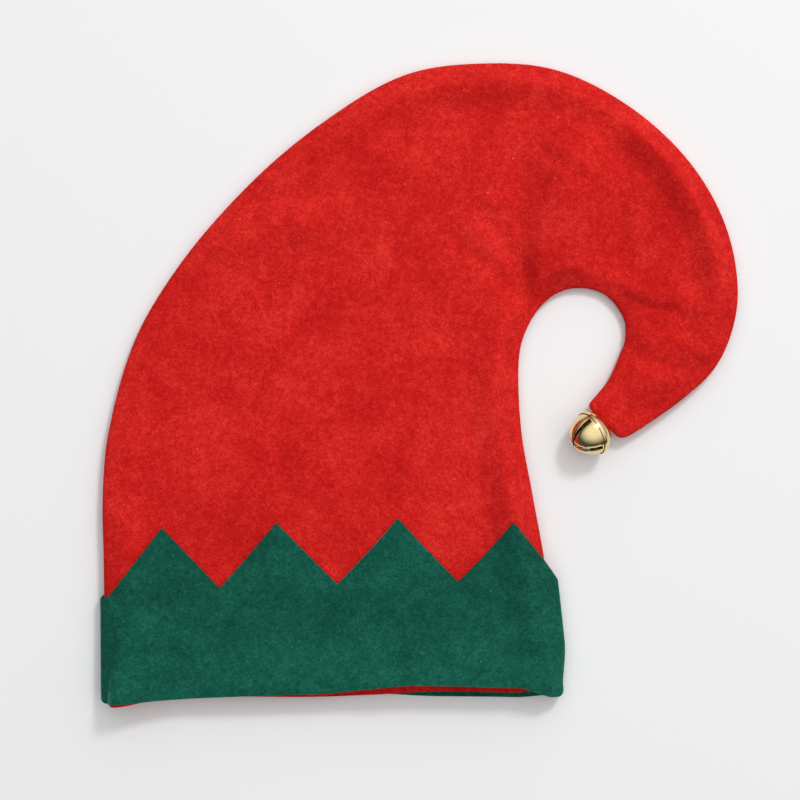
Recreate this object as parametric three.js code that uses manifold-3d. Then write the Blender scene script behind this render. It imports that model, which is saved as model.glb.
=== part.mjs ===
// A felt elf hat with a curled tip, lying flat on its side. Millimetres, +Z up, the hem towards -Y.
//
// Two red felt panels are sewn together round their edge and left open at the hem. A green felt band with a
// zigzag top goes round the hem, outside the panels. A round bell is sewn to the closed end of the curl: a cap
// with a loop of wire, a lower shell slit into four petals and rolled into the cap, and a loose pellet inside.

import * as THREE from "three";
import { mergeVertices } from "three/addons/utils/BufferGeometryUtils.js";
import Module from "manifold-3d";

// Sizes of the crown, which is cut flat and sewn
const HEM_WIDTH = 286; // flat width from seam to seam at the hem
const TIP_WIDTH = 30; // width of the closed end that carries the bell
const TIP_CORNER = 4; // radius of the two corners of that end
const CROWN_RISE = 330; // height of the middle line above the hem, at the crest
const CURL_REACH = 220; // how far the middle line goes sideways, at the outside of the curl
const CROWN_FELT = 1.6; // thickness of the red felt
const SEAM_GAP = 0.3; // space between the two panels along their seam
const SEAM_BEND = 6.4; // how far in from the seam the inside of the felt has turned flat
const SEAM_RISE = 3.0; // how far the inside of the upper panel climbs in that turn
const SEAM_DROP = 1.6; // how far the inside of the lower panel falls in that turn
const LOFT = 6.5; // how far a full bulge of the upper panel stands above its edge
const RIM_HEIGHT = 6; // height of a full rim, the ridge of puffed felt along a turned seam
const RIM_PLACE = 11; // distance of its crest from the seam
const RIM_WIDTH = 23; // half its width
const FOLD_WIDTH = 10; // half the width of a full fold
const FOLD_HEIGHT = 2; // height of a full fold
const TIP_LIFT = 4.8; // how far the closed end is lifted off the table

// Sizes of the hem and the band
const UPPER_BOW = 4.7; // how far the middle of the upper layer's hem is drawn in
const LOWER_BOW = 3; // the same for the lower layer
const MOUTH_ARCH = 5.5; // how much further the upper layer is drawn back where the mouth gapes
const ARCH_OPENS = [0.46, 0.68]; // where that starts and is full, as shares of the hem from the outer seam
const MOUTH_SAG = 2; // how far the lower layer slips out there
const SAG_OPENS = [0.56, 0.74]; // where that starts and is full
const MOUTH_CLOSES = [0.9, 0.985]; // where both start to end and have ended
const HEM_TUCK = 3.4; // how far the red felt stops short of the green edge at the inner seam
const TUCK_STARTS = [0.58, 0.74]; // where that starts and is full
const HEM_PEEK = 1.2; // how far it comes out under the green edge elsewhere
const PEEKS = [[0, 0.12], [0.47, 0.2]]; // the places where it does, and half their widths
const BAND_FELT = 1.5; // thickness of the green felt
const BAND_CLEARANCE = 1.2; // space between the band and the crown
const BAND_HEIGHT = 112; // from the hem to the points of the zigzag
const BAND_FLARE = 4.4; // how far the band stands off the inner seam above the hem
const FLARE_HEIGHT = 36; // height above the hem at which it has flared fully

// Sizes of the bell
const BELL_DIAMETER = 28; // across the rolled lip
const BELL_SHEET = 0.5; // thickness of its metal
const BELL_CLEARANCE = 0.3; // between the bell's own pieces, and between the bell and the felt
const LIP_DEPTH = 1.6; // how far the cap's lip reaches down over the petals
const LIP_SHOULDER = 0.9; // how far above the petals the lip starts
const CAP_ROUND = 0.8; // height of the cap as a share of a half ball
const SLIT_WIDTH = 2.4; // width of the slits between the petals
const SLIT_STOP = 2.4; // the slits end this far below the middle of the bell
const SLIT_TURN = 37; // turn of the slits about the bell's axis, in degrees
const WIRE = 1.2; // diameter of the loop's wire
const LOOP_WIDTH = 4.8; // between the middles of the loop's two legs
const LOOP_REACH = 4.2; // how far the loop stands out of the cap
const FOOT_REACH = 2.8; // how far each leg's foot is bent out under the cap
const FOOT_FALL = 1.2; // how far the foot falls away from the cap
const PELLET_DIAMETER = 8;
const PELLET_CLEARANCE = 0.45; // between the pellet and the shell, whose inside has flat faces
const PELLET_ROLL = 3.4; // how far it has rolled from below the middle, towards the petals
const BELL_HEADING = 207; // direction of the petals in plan, in degrees from +X
const BELL_TILT = 21; // how far the petals point up, in degrees
const BELL_OUT = 11.4; // distance of the bell's middle from the closed end
const BELL_SHIFT = 1.9; // how far it sits from the middle of the closed end, towards the inner seam

// How finely the shapes are divided
const ROWS_ALONG = 40; // rows of faces from the hem to the tip, even along the outer seam
const UPPER_COLUMNS = 9; // columns of faces across the upper panel, besides those near its seams
const LOWER_COLUMNS = 5; // the same for the lower panel
const BAND_ROWS = 6; // rows of faces up the band
const BAND_STEP = 16; // longest face round the band
const LEAST_STEP = 0.0005; // places round the band that are closer than this are one
const BELL_SIDES = 24;
const BELL_ARC_STEPS = 7;
const WIRE_SIDES = 6;
const BEND_STEPS = [0, 0.04, 0.16, 0.4, 0.75, 1.1]; // columns of a seam's bend, as shares of it
const RIM_STEPS = [...BEND_STEPS, 2.3, 3.7]; // the same with the slope behind the rim's crest

const FELT_ROUGHNESS = 0.95;
const redFelt = new THREE.MeshStandardMaterial({ color: 0xcb2621, roughness: FELT_ROUGHNESS, metalness: 0 });
const greenFelt = new THREE.MeshStandardMaterial({ color: 0x175545, roughness: FELT_ROUGHNESS, metalness: 0 });
const brass = new THREE.MeshStandardMaterial({ color: 0xd8bf6a, roughness: 0.12, metalness: 1 });
const steel = new THREE.MeshStandardMaterial({ color: 0x9a9a98, roughness: 0.3, metalness: 1 });

// Sections from the hem to the tip, each a line across the hat from its outer to its inner seam.
// reach and rise place its middle, as shares of CURL_REACH and CROWN_RISE from the middle of the hem.
// taper is its width, from 1 at HEM_WIDTH to 0 at TIP_WIDTH, and turn is its direction in degrees.
// loft, outerRim and innerRim are shares of LOFT and RIM_HEIGHT, and lift is a share of TIP_LIFT.
const SECTIONS = [
  { reach: 0, rise: 0, taper: 1, turn: 0.8, loft: 0.2, outerRim: 0.5, innerRim: 0.5, lift: 0 },
  { reach: -0.024, rise: 0.264, taper: 0.967, turn: 0, loft: 0.6, outerRim: 0.5, innerRim: 1.1, lift: 0 },
  { reach: -0.042, rise: 0.388, taper: 0.941, turn: 0, loft: 0.8, outerRim: 0, innerRim: 1.3, lift: 0 },
  { reach: -0.05, rise: 0.512, taper: 0.899, turn: 0, loft: 0.9, outerRim: 0, innerRim: 0.9, lift: 0 },
  { reach: -0.017, rise: 0.663, taper: 0.831, turn: -3.3, loft: 0.9, outerRim: 0, innerRim: 0.8, lift: 0 },
  { reach: 0.053, rise: 0.761, taper: 0.754, turn: -10.8, loft: 0.9, outerRim: 0, innerRim: 0.4, lift: 0 },
  { reach: 0.168, rise: 0.859, taper: 0.664, turn: -22.5, loft: 0.85, outerRim: 0.2, innerRim: 0, lift: 0 },
  { reach: 0.301, rise: 0.936, taper: 0.589, turn: -38, loft: 0.8, outerRim: 0.6, innerRim: 0, lift: 0 },
  { reach: 0.436, rise: 0.987, taper: 0.543, turn: -53.5, loft: 0.7, outerRim: 0.7, innerRim: 0, lift: 0 },
  { reach: 0.563, rise: 1, taper: 0.486, turn: -66.6, loft: 0.5, outerRim: 0.9, innerRim: 0, lift: 0 },
  { reach: 0.689, rise: 0.993, taper: 0.43, turn: -80.9, loft: 0.4, outerRim: 0.7, innerRim: 0, lift: 0 },
  { reach: 0.811, rise: 0.955, taper: 0.355, turn: -96.3, loft: 0.3, outerRim: 0.9, innerRim: 0, lift: 0 },
  { reach: 0.916, rise: 0.891, taper: 0.289, turn: -114.3, loft: 0.2, outerRim: 1.2, innerRim: 0.1, lift: 0 },
  { reach: 0.981, rise: 0.815, taper: 0.231, turn: -134.5, loft: 0.15, outerRim: 1.3, innerRim: 0.1, lift: 0.05 },
  { reach: 1, rise: 0.733, taper: 0.188, turn: -155.6, loft: 0.1, outerRim: 1.1, innerRim: 0.1, lift: 0.12 },
  { reach: 0.982, rise: 0.676, taper: 0.157, turn: -171.2, loft: 0.2, outerRim: 0.4, innerRim: 0, lift: 0.25 },
  { reach: 0.949, rise: 0.631, taper: 0.125, turn: -181.8, loft: 0.3, outerRim: 0.1, innerRim: 0, lift: 0.42 },
  { reach: 0.9, rise: 0.593, taper: 0.079, turn: -191, loft: 0.25, outerRim: 0, innerRim: 0, lift: 0.62 },
  { reach: 0.837, rise: 0.557, taper: 0.034, turn: -205.3, loft: 0.2, outerRim: 0, innerRim: 0, lift: 0.84 },
  { reach: 0.777, rise: 0.527, taper: 0, turn: -225.9, loft: 0.15, outerRim: 0, innerRim: 0, lift: 1 },
];

// The zigzag, a row for each of its points and the notch before it. The places are counted in widths of the hem
// from the outer seam, 0 to 1 on the upper layer and 1 to 2 on the lower, and the heights are shares of BAND_HEIGHT.
const ZIGZAG = [
  { notch: 0.02, notchHeight: 0.56, point: 0.143, pointHeight: 0.965 },
  { notch: 0.266, notchHeight: 0.62, point: 0.402, pointHeight: 1 },
  { notch: 0.527, notchHeight: 0.64, point: 0.677, pointHeight: 1.025 },
  { notch: 0.794, notchHeight: 0.64, point: 0.935, pointHeight: 1 },
  { notch: 1.01, notchHeight: 0.62, point: 1.14, pointHeight: 1 },
  { notch: 1.26, notchHeight: 0.62, point: 1.39, pointHeight: 1 },
  { notch: 1.52, notchHeight: 0.62, point: 1.65, pointHeight: 1 },
  { notch: 1.77, notchHeight: 0.62, point: 1.9, pointHeight: 1 },
];

// Folds of the upper layer, each a ridge or, below 0, a valley between two points. x and toX are shares of
// CURL_REACH, y and toY of CROWN_RISE, and width and height of FOLD_WIDTH and FOLD_HEIGHT.
const FOLDS = [
  { x: 0.692, y: 1.049, toX: 0.652, toY: 0.781, width: 1.9, height: 3.2 }, // the ridge above the bay
  { x: 0.804, y: 1.097, toX: 0.829, toY: 0.848, width: 1.8, height: -2.0 }, // the valley between that ridge and the outer rim
  { x: 0.52, y: 0.973, toX: 0.531, toY: 0.781, width: 1.1, height: -1.3 }, // the valley on its other side
  { x: 0.494, y: 1.049, toX: 0.566, toY: 0.982, width: 1.2, height: -0.7 }, // up from that valley
  { x: 0.351, y: 0.877, toX: 0.537, toY: 0.766, width: 0.6, height: -0.8 }, // a crease from the bay
  { x: -0.38, y: 0.867, toX: -0.093, toY: 0.904, width: 1.2, height: 1.4 }, // in from the outer seam
  { x: -0.093, y: 0.904, toX: 0.193, toY: 0.927, width: 1.2, height: 0.6 }, // the same, dying out
  { x: 0.801, y: 0.797, toX: 1.039, toY: 0.751, width: 0.8, height: 1.3 }, // across the curl
  { x: 0.829, y: 0.696, toX: 1.11, toY: 0.652, width: 0.7, height: 1.2 }, // lower across the curl
  { x: 0.875, y: 0.613, toX: 1.053, toY: 0.594, width: 0.7, height: 0.8 }, // the next, before the tip
  { x: 0.809, y: 0.562, toX: 0.895, toY: 0.547, width: 0.7, height: -0.8 }, // in front of the tip
  { x: -0.609, y: -0.006, toX: 0.594, toY: 0.004, width: 2.4, height: 3.2 }, // along the hem
  { x: -0.294, y: 0.113, toX: 0.451, toY: 0.128, width: 2.6, height: -0.7 }, // behind the hem
  { x: 0.48, y: 0.686, toX: 0.494, toY: 0.304, width: 3.0, height: 1.0 }, // the slope down from the inner seam
  { x: -0.523, y: 0.18, toX: -0.409, toY: 0.036, width: 2.4, height: -0.3 }, // low on the band
];

const wasm = await Module();
wasm.setup();

const degrees = THREE.MathUtils.degToRad;
const smooth = THREE.MathUtils.smoothstep;
const lerp = THREE.MathUtils.lerp;

// 1 at the middle of a bump and 0 from one half width away from it
const bump = (x) => (Math.abs(x) < 1 ? (1 + Math.cos(Math.PI * x)) / 2 : 0);

// How far a felt edge has turned flat, from 0 at the seam to 1 at the end of the bend
const turnIn = (x) => (x < 1 ? Math.sqrt(Math.max(0, 1 - (1 - x) ** 2)) : 1);

// The crown's middle line, and the distance along it of each section
const middles = SECTIONS.map((row) => new THREE.Vector2(row.reach * CURL_REACH, row.rise * CROWN_RISE));
const marks = [0];
middles.slice(1).forEach((middle, i) => marks.push(marks[i] + middle.distanceTo(middles[i])));
const CROWN_LENGTH = marks.at(-1);

// A smooth curve through one value of each section, as a function of the distance from the hem
function curveThrough(values) {
  const slopes = values.map((_, i) => {
    const before = Math.max(i - 1, 0);
    const after = Math.min(i + 1, values.length - 1);
    return (values[after] - values[before]) / (marks[after] - marks[before]);
  });
  return (along) => {
    const i = THREE.MathUtils.clamp(marks.findIndex((mark) => mark > along), 1, marks.length - 1) - 1;
    const place = along >= CROWN_LENGTH ? marks.length - 2 : i;
    const span = marks[place + 1] - marks[place];
    const u = THREE.MathUtils.clamp((along - marks[place]) / span, 0, 1);
    const [u2, u3] = [u * u, u * u * u];
    return (
      (2 * u3 - 3 * u2 + 1) * values[place] +
      (u3 - 2 * u2 + u) * span * slopes[place] +
      (3 * u2 - 2 * u3) * values[place + 1] +
      (u3 - u2) * span * slopes[place + 1]
    );
  };
}

const middleX = curveThrough(middles.map((middle) => middle.x));
const middleY = curveThrough(middles.map((middle) => middle.y));
const cutWidthAt = curveThrough(SECTIONS.map((row) => lerp(TIP_WIDTH, HEM_WIDTH, row.taper)));
const turnAt = curveThrough(SECTIONS.map((row) => degrees(row.turn)));
const loftAt = curveThrough(SECTIONS.map((row) => row.loft * LOFT));
const outerRimAt = curveThrough(SECTIONS.map((row) => row.outerRim * RIM_HEIGHT));
const innerRimAt = curveThrough(SECTIONS.map((row) => row.innerRim * RIM_HEIGHT));
const tipLiftAt = curveThrough(SECTIONS.map((row) => row.lift * TIP_LIFT));

// The width of the crown, with the corners of the closed end rounded off
function widthAt(along) {
  const inCorner = TIP_CORNER - Math.min(CROWN_LENGTH - along, TIP_CORNER);
  return cutWidthAt(along) - 2 * (TIP_CORNER - Math.sqrt(TIP_CORNER ** 2 - inCorner ** 2));
}

// How high the crown's underside lies: on the band near the hem, on the table beyond it, and up to the bell
const BAND_LAYER = BAND_FELT + BAND_CLEARANCE;
function undersideAt(along) {
  const onBand = BAND_LAYER * (1 - smooth(along, BAND_HEIGHT, 2 * BAND_HEIGHT));
  return onBand + tipLiftAt(along);
}
const CROWN_DROP = SEAM_DROP + CROWN_FELT;
const CROWN_RIM = SEAM_RISE + CROWN_FELT;
const seamHeightAt = (along) => undersideAt(along) + CROWN_DROP + SEAM_GAP / 2;

// How far the hem is drawn in, at a share of the way from the outer to the inner seam
function hemDrawnIn(side, across) {
  const bow = 4 * across * (1 - across);
  const mouthEnd = 1 - smooth(across, ...MOUTH_CLOSES);
  return side > 0
    ? UPPER_BOW * bow + MOUTH_ARCH * smooth(across, ...ARCH_OPENS) * mouthEnd
    : LOWER_BOW * bow - MOUTH_SAG * smooth(across, ...SAG_OPENS) * mouthEnd;
}

// Height of the folds at a point in plan
function foldsAt(x, y) {
  return FOLDS.reduce((height, fold) => {
    const start = new THREE.Vector2(fold.x * CURL_REACH, fold.y * CROWN_RISE);
    const run = new THREE.Vector2(fold.toX * CURL_REACH, fold.toY * CROWN_RISE).sub(start);
    const from = new THREE.Vector2(x, y).sub(start);
    const share = THREE.MathUtils.clamp(from.dot(run) / run.lengthSq(), 0, 1);
    const away = from.addScaledVector(run, -share).length() / (fold.width * FOLD_WIDTH);
    return height + fold.height * FOLD_HEIGHT * Math.exp(-away * away);
  }, 0);
}

// A point on one layer of the hat. side is 1 on the upper layer and -1 on the lower. along is the distance from
// the hem and across the share of the way to the inner seam. inset is how far the surface lies inside the
// crown's outer face, below 0 outside it, and stand how far the two sides are held apart at the seam.
function layerPoint(side, along, across, inset, stand = SEAM_GAP / 2) {
  const width = widthAt(along);
  const open = width - 2 * inset;
  const fromOuter = open * across;
  const fromInner = open - fromOuter;
  const fromTip = CROWN_LENGTH - inset - along;
  const bend = SEAM_BEND + CROWN_FELT - inset;
  const turned = turnIn(fromOuter / bend) * turnIn(fromInner / bend) * turnIn(fromTip / bend);

  const turn = turnAt(along);
  const offset = inset + fromOuter - width / 2;
  const drawn = hemDrawnIn(side, across) * (1 - smooth(along, 0, BAND_HEIGHT));
  const x = middleX(along) + offset * Math.cos(turn);
  const y = middleY(along) + offset * Math.sin(turn) + drawn;

  if (side < 0) {
    const fall = stand + (SEAM_GAP / 2 - stand + CROWN_DROP - inset) * turned;
    return new THREE.Vector3(x, y, seamHeightAt(along) - fall);
  }
  const inFromOuter = fromOuter + inset;
  const inFromInner = fromInner + inset;
  const edge = Math.min(inFromOuter, inFromInner, fromTip + inset);
  const relief =
    loftAt(along) * Math.sin(Math.PI * (inFromOuter / width)) +
    foldsAt(x, y) +
    outerRimAt(along) * bump((inFromOuter - RIM_PLACE) / RIM_WIDTH) +
    innerRimAt(along) * bump((inFromInner - RIM_PLACE) / RIM_WIDTH);
  const climb = stand + (SEAM_GAP / 2 - stand + CROWN_RIM - inset) * turned;
  return new THREE.Vector3(x, y, seamHeightAt(along) + climb + relief * smooth(edge, 0, 2 * SEAM_BEND));
}

// A closed solid between two grids of points of the same size, which share no point. wrap joins the last
// column to the first, as on a loop, and otherwise the sides are closed by walls.
function solidBetween(outer, inner, wrap = false) {
  const rows = outer.length;
  const columns = outer[0].length;
  const points = [...outer.flat(), ...inner.flat()];
  const at = (layer, row, column) => layer * rows * columns + row * columns + (column % columns);
  const faces = [];
  const quad = (a, b, c, d) => faces.push(a, b, c, a, c, d);
  const lastColumn = wrap ? columns : columns - 1;
  for (let row = 0; row < rows - 1; row++) {
    for (let column = 0; column < lastColumn; column++) {
      const [r, c] = [row + 1, column + 1];
      quad(at(0, row, column), at(0, row, c), at(0, r, c), at(0, r, column));
      quad(at(1, row, column), at(1, r, column), at(1, r, c), at(1, row, c));
    }
    if (!wrap) {
      quad(at(0, row, 0), at(0, row + 1, 0), at(1, row + 1, 0), at(1, row, 0));
      quad(at(0, row + 1, lastColumn), at(0, row, lastColumn), at(1, row, lastColumn), at(1, row + 1, lastColumn));
    }
  }
  for (let column = 0; column < lastColumn; column++) {
    quad(at(0, 0, column + 1), at(0, 0, column), at(1, 0, column), at(1, 0, column + 1));
    const end = rows - 1;
    quad(at(0, end, column), at(0, end, column + 1), at(1, end, column + 1), at(1, end, column));
  }
  return { points, faces };
}

// The same solid turned inside out, for a layer whose outer face looks down
function reversed({ points, faces }) {
  const turned = [];
  for (let i = 0; i < faces.length; i += 3) turned.push(faces[i], faces[i + 2], faces[i + 1]);
  return { points, faces: turned };
}

function geometryOf({ points, faces }) {
  const geometry = new THREE.BufferGeometry().setFromPoints(points);
  geometry.setIndex(faces);
  geometry.computeVertexNormals();
  return geometry;
}

// Shares across a layer: close together in the two rims, and even between them
function columnsAcross(open, bend, steps, between) {
  const rim = steps.map((step) => Math.min((step * bend) / open, (step / steps.at(-1)) * 0.4));
  const left = rim.at(-1);
  const middle = Array.from({ length: between - 1 }, (_, i) => lerp(left, 1 - left, (i + 1) / between));
  return [...rim, ...middle, ...rim.map((share) => 1 - share).reverse()];
}

// Distances from the hem: even along the outer seam, and close together in the rim of the closed end
function rowsAlong(end, bend) {
  const rim = BEND_STEPS.map((step) => end - step * bend).reverse();
  const fine = Array.from({ length: 20 * ROWS_ALONG + 1 }, (_, i) => (rim[0] * i) / (20 * ROWS_ALONG));
  const seam = fine.map((along) => layerPoint(1, along, 0, 0));
  const lengths = [0];
  seam.slice(1).forEach((point, i) => lengths.push(lengths[i] + point.distanceTo(seam[i])));
  const body = Array.from({ length: ROWS_ALONG }, (_, i) => {
    const length = (lengths.at(-1) * i) / ROWS_ALONG;
    return fine[lengths.findIndex((x) => x >= length)];
  });
  return [...body, ...rim];
}

// One red panel. Its felt is CROWN_FELT thick and stops short of the band's edge at the hem.
function crownPanel(side, steps, between) {
  const grid = (inset) => {
    const bend = SEAM_BEND + CROWN_FELT - inset;
    return rowsAlong(CROWN_LENGTH - inset, bend).map((along, row) =>
      columnsAcross(widthAt(along) - 2 * inset, bend, steps, between).map((across) => {
        const peeks = PEEKS.map(([place, half]) => bump((across - place) / half));
        const tuck = HEM_TUCK * smooth(across, ...TUCK_STARTS) - HEM_PEEK * (peeks[0] + peeks[1]);
        const start = row === 0 ? tuck : along;
        return layerPoint(side, start, across, inset);
      }),
    );
  };
  const solid = solidBetween(grid(0), grid(CROWN_FELT));
  return geometryOf(side > 0 ? solid : reversed(solid));
}

// The corners of the zigzag in order round the band, once more round at the end
const corners = ZIGZAG.flatMap((row) => [
  { place: row.notch, height: row.notchHeight * BAND_HEIGHT },
  { place: row.point, height: row.pointHeight * BAND_HEIGHT },
]);
corners.push({ place: corners[0].place + 2, height: corners[0].height });

// Height of the band's top edge above the hem at a place round it
function zigzagAt(place) {
  const counted = place < corners[0].place ? place + 2 : place;
  const next = corners.findIndex((corner) => corner.place > counted);
  const [from, to] = [corners[next - 1], corners[next]];
  return lerp(from.height, to.height, (counted - from.place) / (to.place - from.place));
}

// Places round the band of its columns: at each corner of the zigzag, near the seams, and evenly between
function columnsRound() {
  const nearSeams = columnsAcross(HEM_WIDTH, SEAM_BEND + CROWN_FELT, RIM_STEPS, 1);
  const places = [...corners.slice(0, -1).map((corner) => corner.place), ...nearSeams, ...nearSeams.map((x) => x + 1)];
  const fixed = places.filter((place) => place < 2).sort((a, b) => a - b);
  const kept = fixed.filter((place, i) => i === 0 || place - fixed[i - 1] > LEAST_STEP);
  return kept.flatMap((place, i) => {
    const next = kept[i + 1] ?? kept[0] + 2;
    const parts = Math.ceil(((next - place) * HEM_WIDTH) / BAND_STEP);
    return Array.from({ length: parts }, (_, k) => lerp(place, next, k / parts));
  });
}

function zigzagBand() {
  const places = columnsRound();
  const grid = (inset) =>
    Array.from({ length: BAND_ROWS + 1 }, (_, row) =>
      places.map((place) => {
        const [side, across] = place <= 1 ? [1, place] : [-1, 2 - place];
        const along = (zigzagAt(place) * row) / BAND_ROWS;
        const flare = BAND_FLARE * smooth(along, 0, FLARE_HEIGHT) * smooth(across, 0.92, 1);
        return layerPoint(side, along, across, inset, 0).add(new THREE.Vector3(flare, 0, 0));
      }),
    );
  return geometryOf(solidBetween(grid(-BAND_LAYER), grid(-BAND_CLEARANCE), true));
}

// Closed geometry to a manifold solid and back, for the few cuts
function solidOf(geometry) {
  const bare = geometry.clone().deleteAttribute("normal").deleteAttribute("uv");
  const merged = mergeVertices(bare, 1e-4);
  return new wasm.Manifold(
    new wasm.Mesh({
      numProp: 3,
      vertProperties: merged.attributes.position.array,
      triVerts: new Uint32Array(merged.index.array),
    }),
  );
}

function fromSolid(solid) {
  const { vertProperties, triVerts } = solid.getMesh();
  const geometry = new THREE.BufferGeometry();
  geometry.setAttribute("position", new THREE.BufferAttribute(new Float32Array(vertProperties), 3));
  geometry.setIndex(new THREE.BufferAttribute(new Uint32Array(triVerts), 1));
  geometry.computeVertexNormals();
  return geometry;
}

// The bell in its own frame: the middle at the origin and the loop towards +Z
const SHELL_RADIUS = BELL_DIAMETER / 2 - BELL_SHEET - BELL_CLEARANCE;
const SHELL_INSIDE = SHELL_RADIUS - BELL_SHEET;
const CAP_TOP = SHELL_RADIUS * CAP_ROUND;

// Points of a quarter circle in the lathe's plane, from one height to another
function arc(radius, fromHeight, toHeight) {
  const [start, end] = [Math.asin(fromHeight / radius), Math.asin(toHeight / radius)];
  return Array.from({ length: BELL_ARC_STEPS + 1 }, (_, i) => {
    const angle = lerp(start, end, i / BELL_ARC_STEPS);
    const across = Math.abs(Math.abs(angle) - Math.PI / 2) < 1e-6 ? 0 : radius * Math.cos(angle);
    return new THREE.Vector2(across, radius * Math.sin(angle));
  });
}

// A turned solid standing on Z, from a profile of (radius, height) points that runs up its outside
function turned(profile) {
  return new THREE.LatheGeometry(profile, BELL_SIDES).rotateX(Math.PI / 2);
}

function moved(geometry, x, y, z) {
  return geometry.clone().translate(x, y, z);
}

function bellCap() {
  const lipOutside = BELL_DIAMETER / 2;
  const lipInside = lipOutside - BELL_SHEET;
  const flatter = (points) => points.map((point) => new THREE.Vector2(point.x, point.y * CAP_ROUND));
  const profile = [
    ...flatter(arc(SHELL_INSIDE, SHELL_INSIDE, BELL_CLEARANCE + BELL_SHEET / 2)),
    new THREE.Vector2(lipInside, BELL_CLEARANCE),
    new THREE.Vector2(lipInside, -LIP_DEPTH),
    new THREE.Vector2(lipOutside, -LIP_DEPTH),
    new THREE.Vector2(lipOutside, LIP_SHOULDER - BELL_SHEET / 2),
    ...flatter(arc(SHELL_RADIUS, LIP_SHOULDER, SHELL_RADIUS)),
  ];
  const drill = new THREE.CylinderGeometry(1, 1, 2 * BELL_DIAMETER, 2 * WIRE_SIDES).rotateX(Math.PI / 2);
  const hole = drill.scale(WIRE / 2 + BELL_CLEARANCE, WIRE / 2 + BELL_CLEARANCE, 0.5);
  const holes = [-1, 1].map((way) => solidOf(moved(hole, (way * LOOP_WIDTH) / 2, 0, BELL_DIAMETER / 2)));
  return holes.reduce((cap, cut) => cap.subtract(cut), solidOf(turned(profile)));
}

function bellPetals() {
  const profile = [...arc(SHELL_RADIUS, -SHELL_RADIUS, 0), ...arc(SHELL_INSIDE, 0, -SHELL_INSIDE)];
  const slab = new THREE.BoxGeometry(SLIT_WIDTH, 2 * BELL_DIAMETER, BELL_DIAMETER);
  const slits = [0, 90].map((turn) => {
    const placed = moved(slab, 0, 0, -SLIT_STOP - BELL_DIAMETER / 2).rotateZ(degrees(SLIT_TURN + turn));
    return solidOf(placed);
  });
  return slits.reduce((shell, slit) => shell.subtract(slit), solidOf(turned(profile)));
}

// The bent wire: a foot under the cap, up through a hole, over the loop and back
class LoopPath extends THREE.Curve {
  getPoint(share) {
    const half = LOOP_WIDTH / 2;
    const arch = CAP_TOP + LOOP_REACH - WIRE / 2 - half;
    const kneeHeight = CAP_TOP - BELL_SHEET - BELL_CLEARANCE - WIRE;
    const knee = new THREE.Vector2(half, kneeHeight);
    const toe = new THREE.Vector2(half + FOOT_REACH, kneeHeight - FOOT_FALL);
    const pieces = [toe.distanceTo(knee), arch - kneeHeight, (Math.PI * half) / 2];
    const total = pieces.reduce((sum, piece) => sum + piece, 0);
    const way = share < 0.5 ? -1 : 1;
    let left = (share < 0.5 ? 2 * share : 2 - 2 * share) * total;
    if (left <= pieces[0]) {
      const at = toe.clone().lerp(knee, left / pieces[0]);
      return new THREE.Vector3(way * at.x, 0, at.y);
    }
    left -= pieces[0];
    if (left <= pieces[1]) return new THREE.Vector3(way * half, 0, kneeHeight + left);
    const angle = (left - pieces[1]) / half;
    return new THREE.Vector3(way * half * Math.cos(angle), 0, arch + half * Math.sin(angle));
  }
}

function wireLoop(radius, steps) {
  const section = new THREE.Shape(
    Array.from({ length: WIRE_SIDES }, (_, i) => {
      const angle = (2 * Math.PI * i) / WIRE_SIDES;
      return new THREE.Vector2(radius * Math.cos(angle), radius * Math.sin(angle));
    }),
  );
  return new THREE.ExtrudeGeometry(section, { extrudePath: new LoopPath(), steps, bevelEnabled: false });
}

// Where the closed end lies, and the bell against it
const endMiddle = new THREE.Vector3(middleX(CROWN_LENGTH), middleY(CROWN_LENGTH), 0);
const endTurn = turnAt(CROWN_LENGTH);
const towardsInner = new THREE.Vector3(Math.cos(endTurn), Math.sin(endTurn), 0);
const outOfEnd = new THREE.Vector3(Math.sin(endTurn), -Math.cos(endTurn), 0).negate();
const bellHeight = (BELL_DIAMETER / 2) * Math.cos(degrees(BELL_TILT)) + LIP_SHOULDER * Math.sin(degrees(BELL_TILT));

const bell = new THREE.Group();
bell.position.copy(endMiddle);
bell.position.addScaledVector(outOfEnd, BELL_OUT).addScaledVector(towardsInner, BELL_SHIFT).setZ(bellHeight);
bell.rotation.set(0, degrees(90 + BELL_TILT), degrees(BELL_HEADING + 180), "ZYX");
bell.updateMatrixWorld(true);

const LOOP_STEPS = 26;
const loopGeometry = wireLoop(WIRE / 2, LOOP_STEPS);
const loopSpace = wireLoop(WIRE / 2 + BELL_CLEARANCE, LOOP_STEPS).applyMatrix4(bell.matrixWorld);

// A felt panel with room for the loop, which is sewn in between the two panels
function withRoomForLoop(panel) {
  return fromSolid(solidOf(panel).subtract(solidOf(loopSpace)));
}

// The pellet lies low inside the petals
function pellet() {
  const radius = PELLET_DIAMETER / 2;
  const ball = new THREE.Mesh(new THREE.SphereGeometry(radius, BELL_SIDES / 2, BELL_ARC_STEPS), steel);
  ball.position.copy(bell.position).addScaledVector(outOfEnd, PELLET_ROLL);
  ball.position.z -= Math.sqrt((SHELL_INSIDE - PELLET_CLEARANCE - radius) ** 2 - PELLET_ROLL ** 2);
  return ball;
}

function named(name, mesh) {
  mesh.name = name;
  return mesh;
}

bell.add(named("bell_cap", new THREE.Mesh(fromSolid(bellCap()), brass)));
bell.add(named("bell_petals", new THREE.Mesh(fromSolid(bellPetals()), brass)));
bell.add(named("bell_loop", new THREE.Mesh(loopGeometry, brass)));

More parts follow.
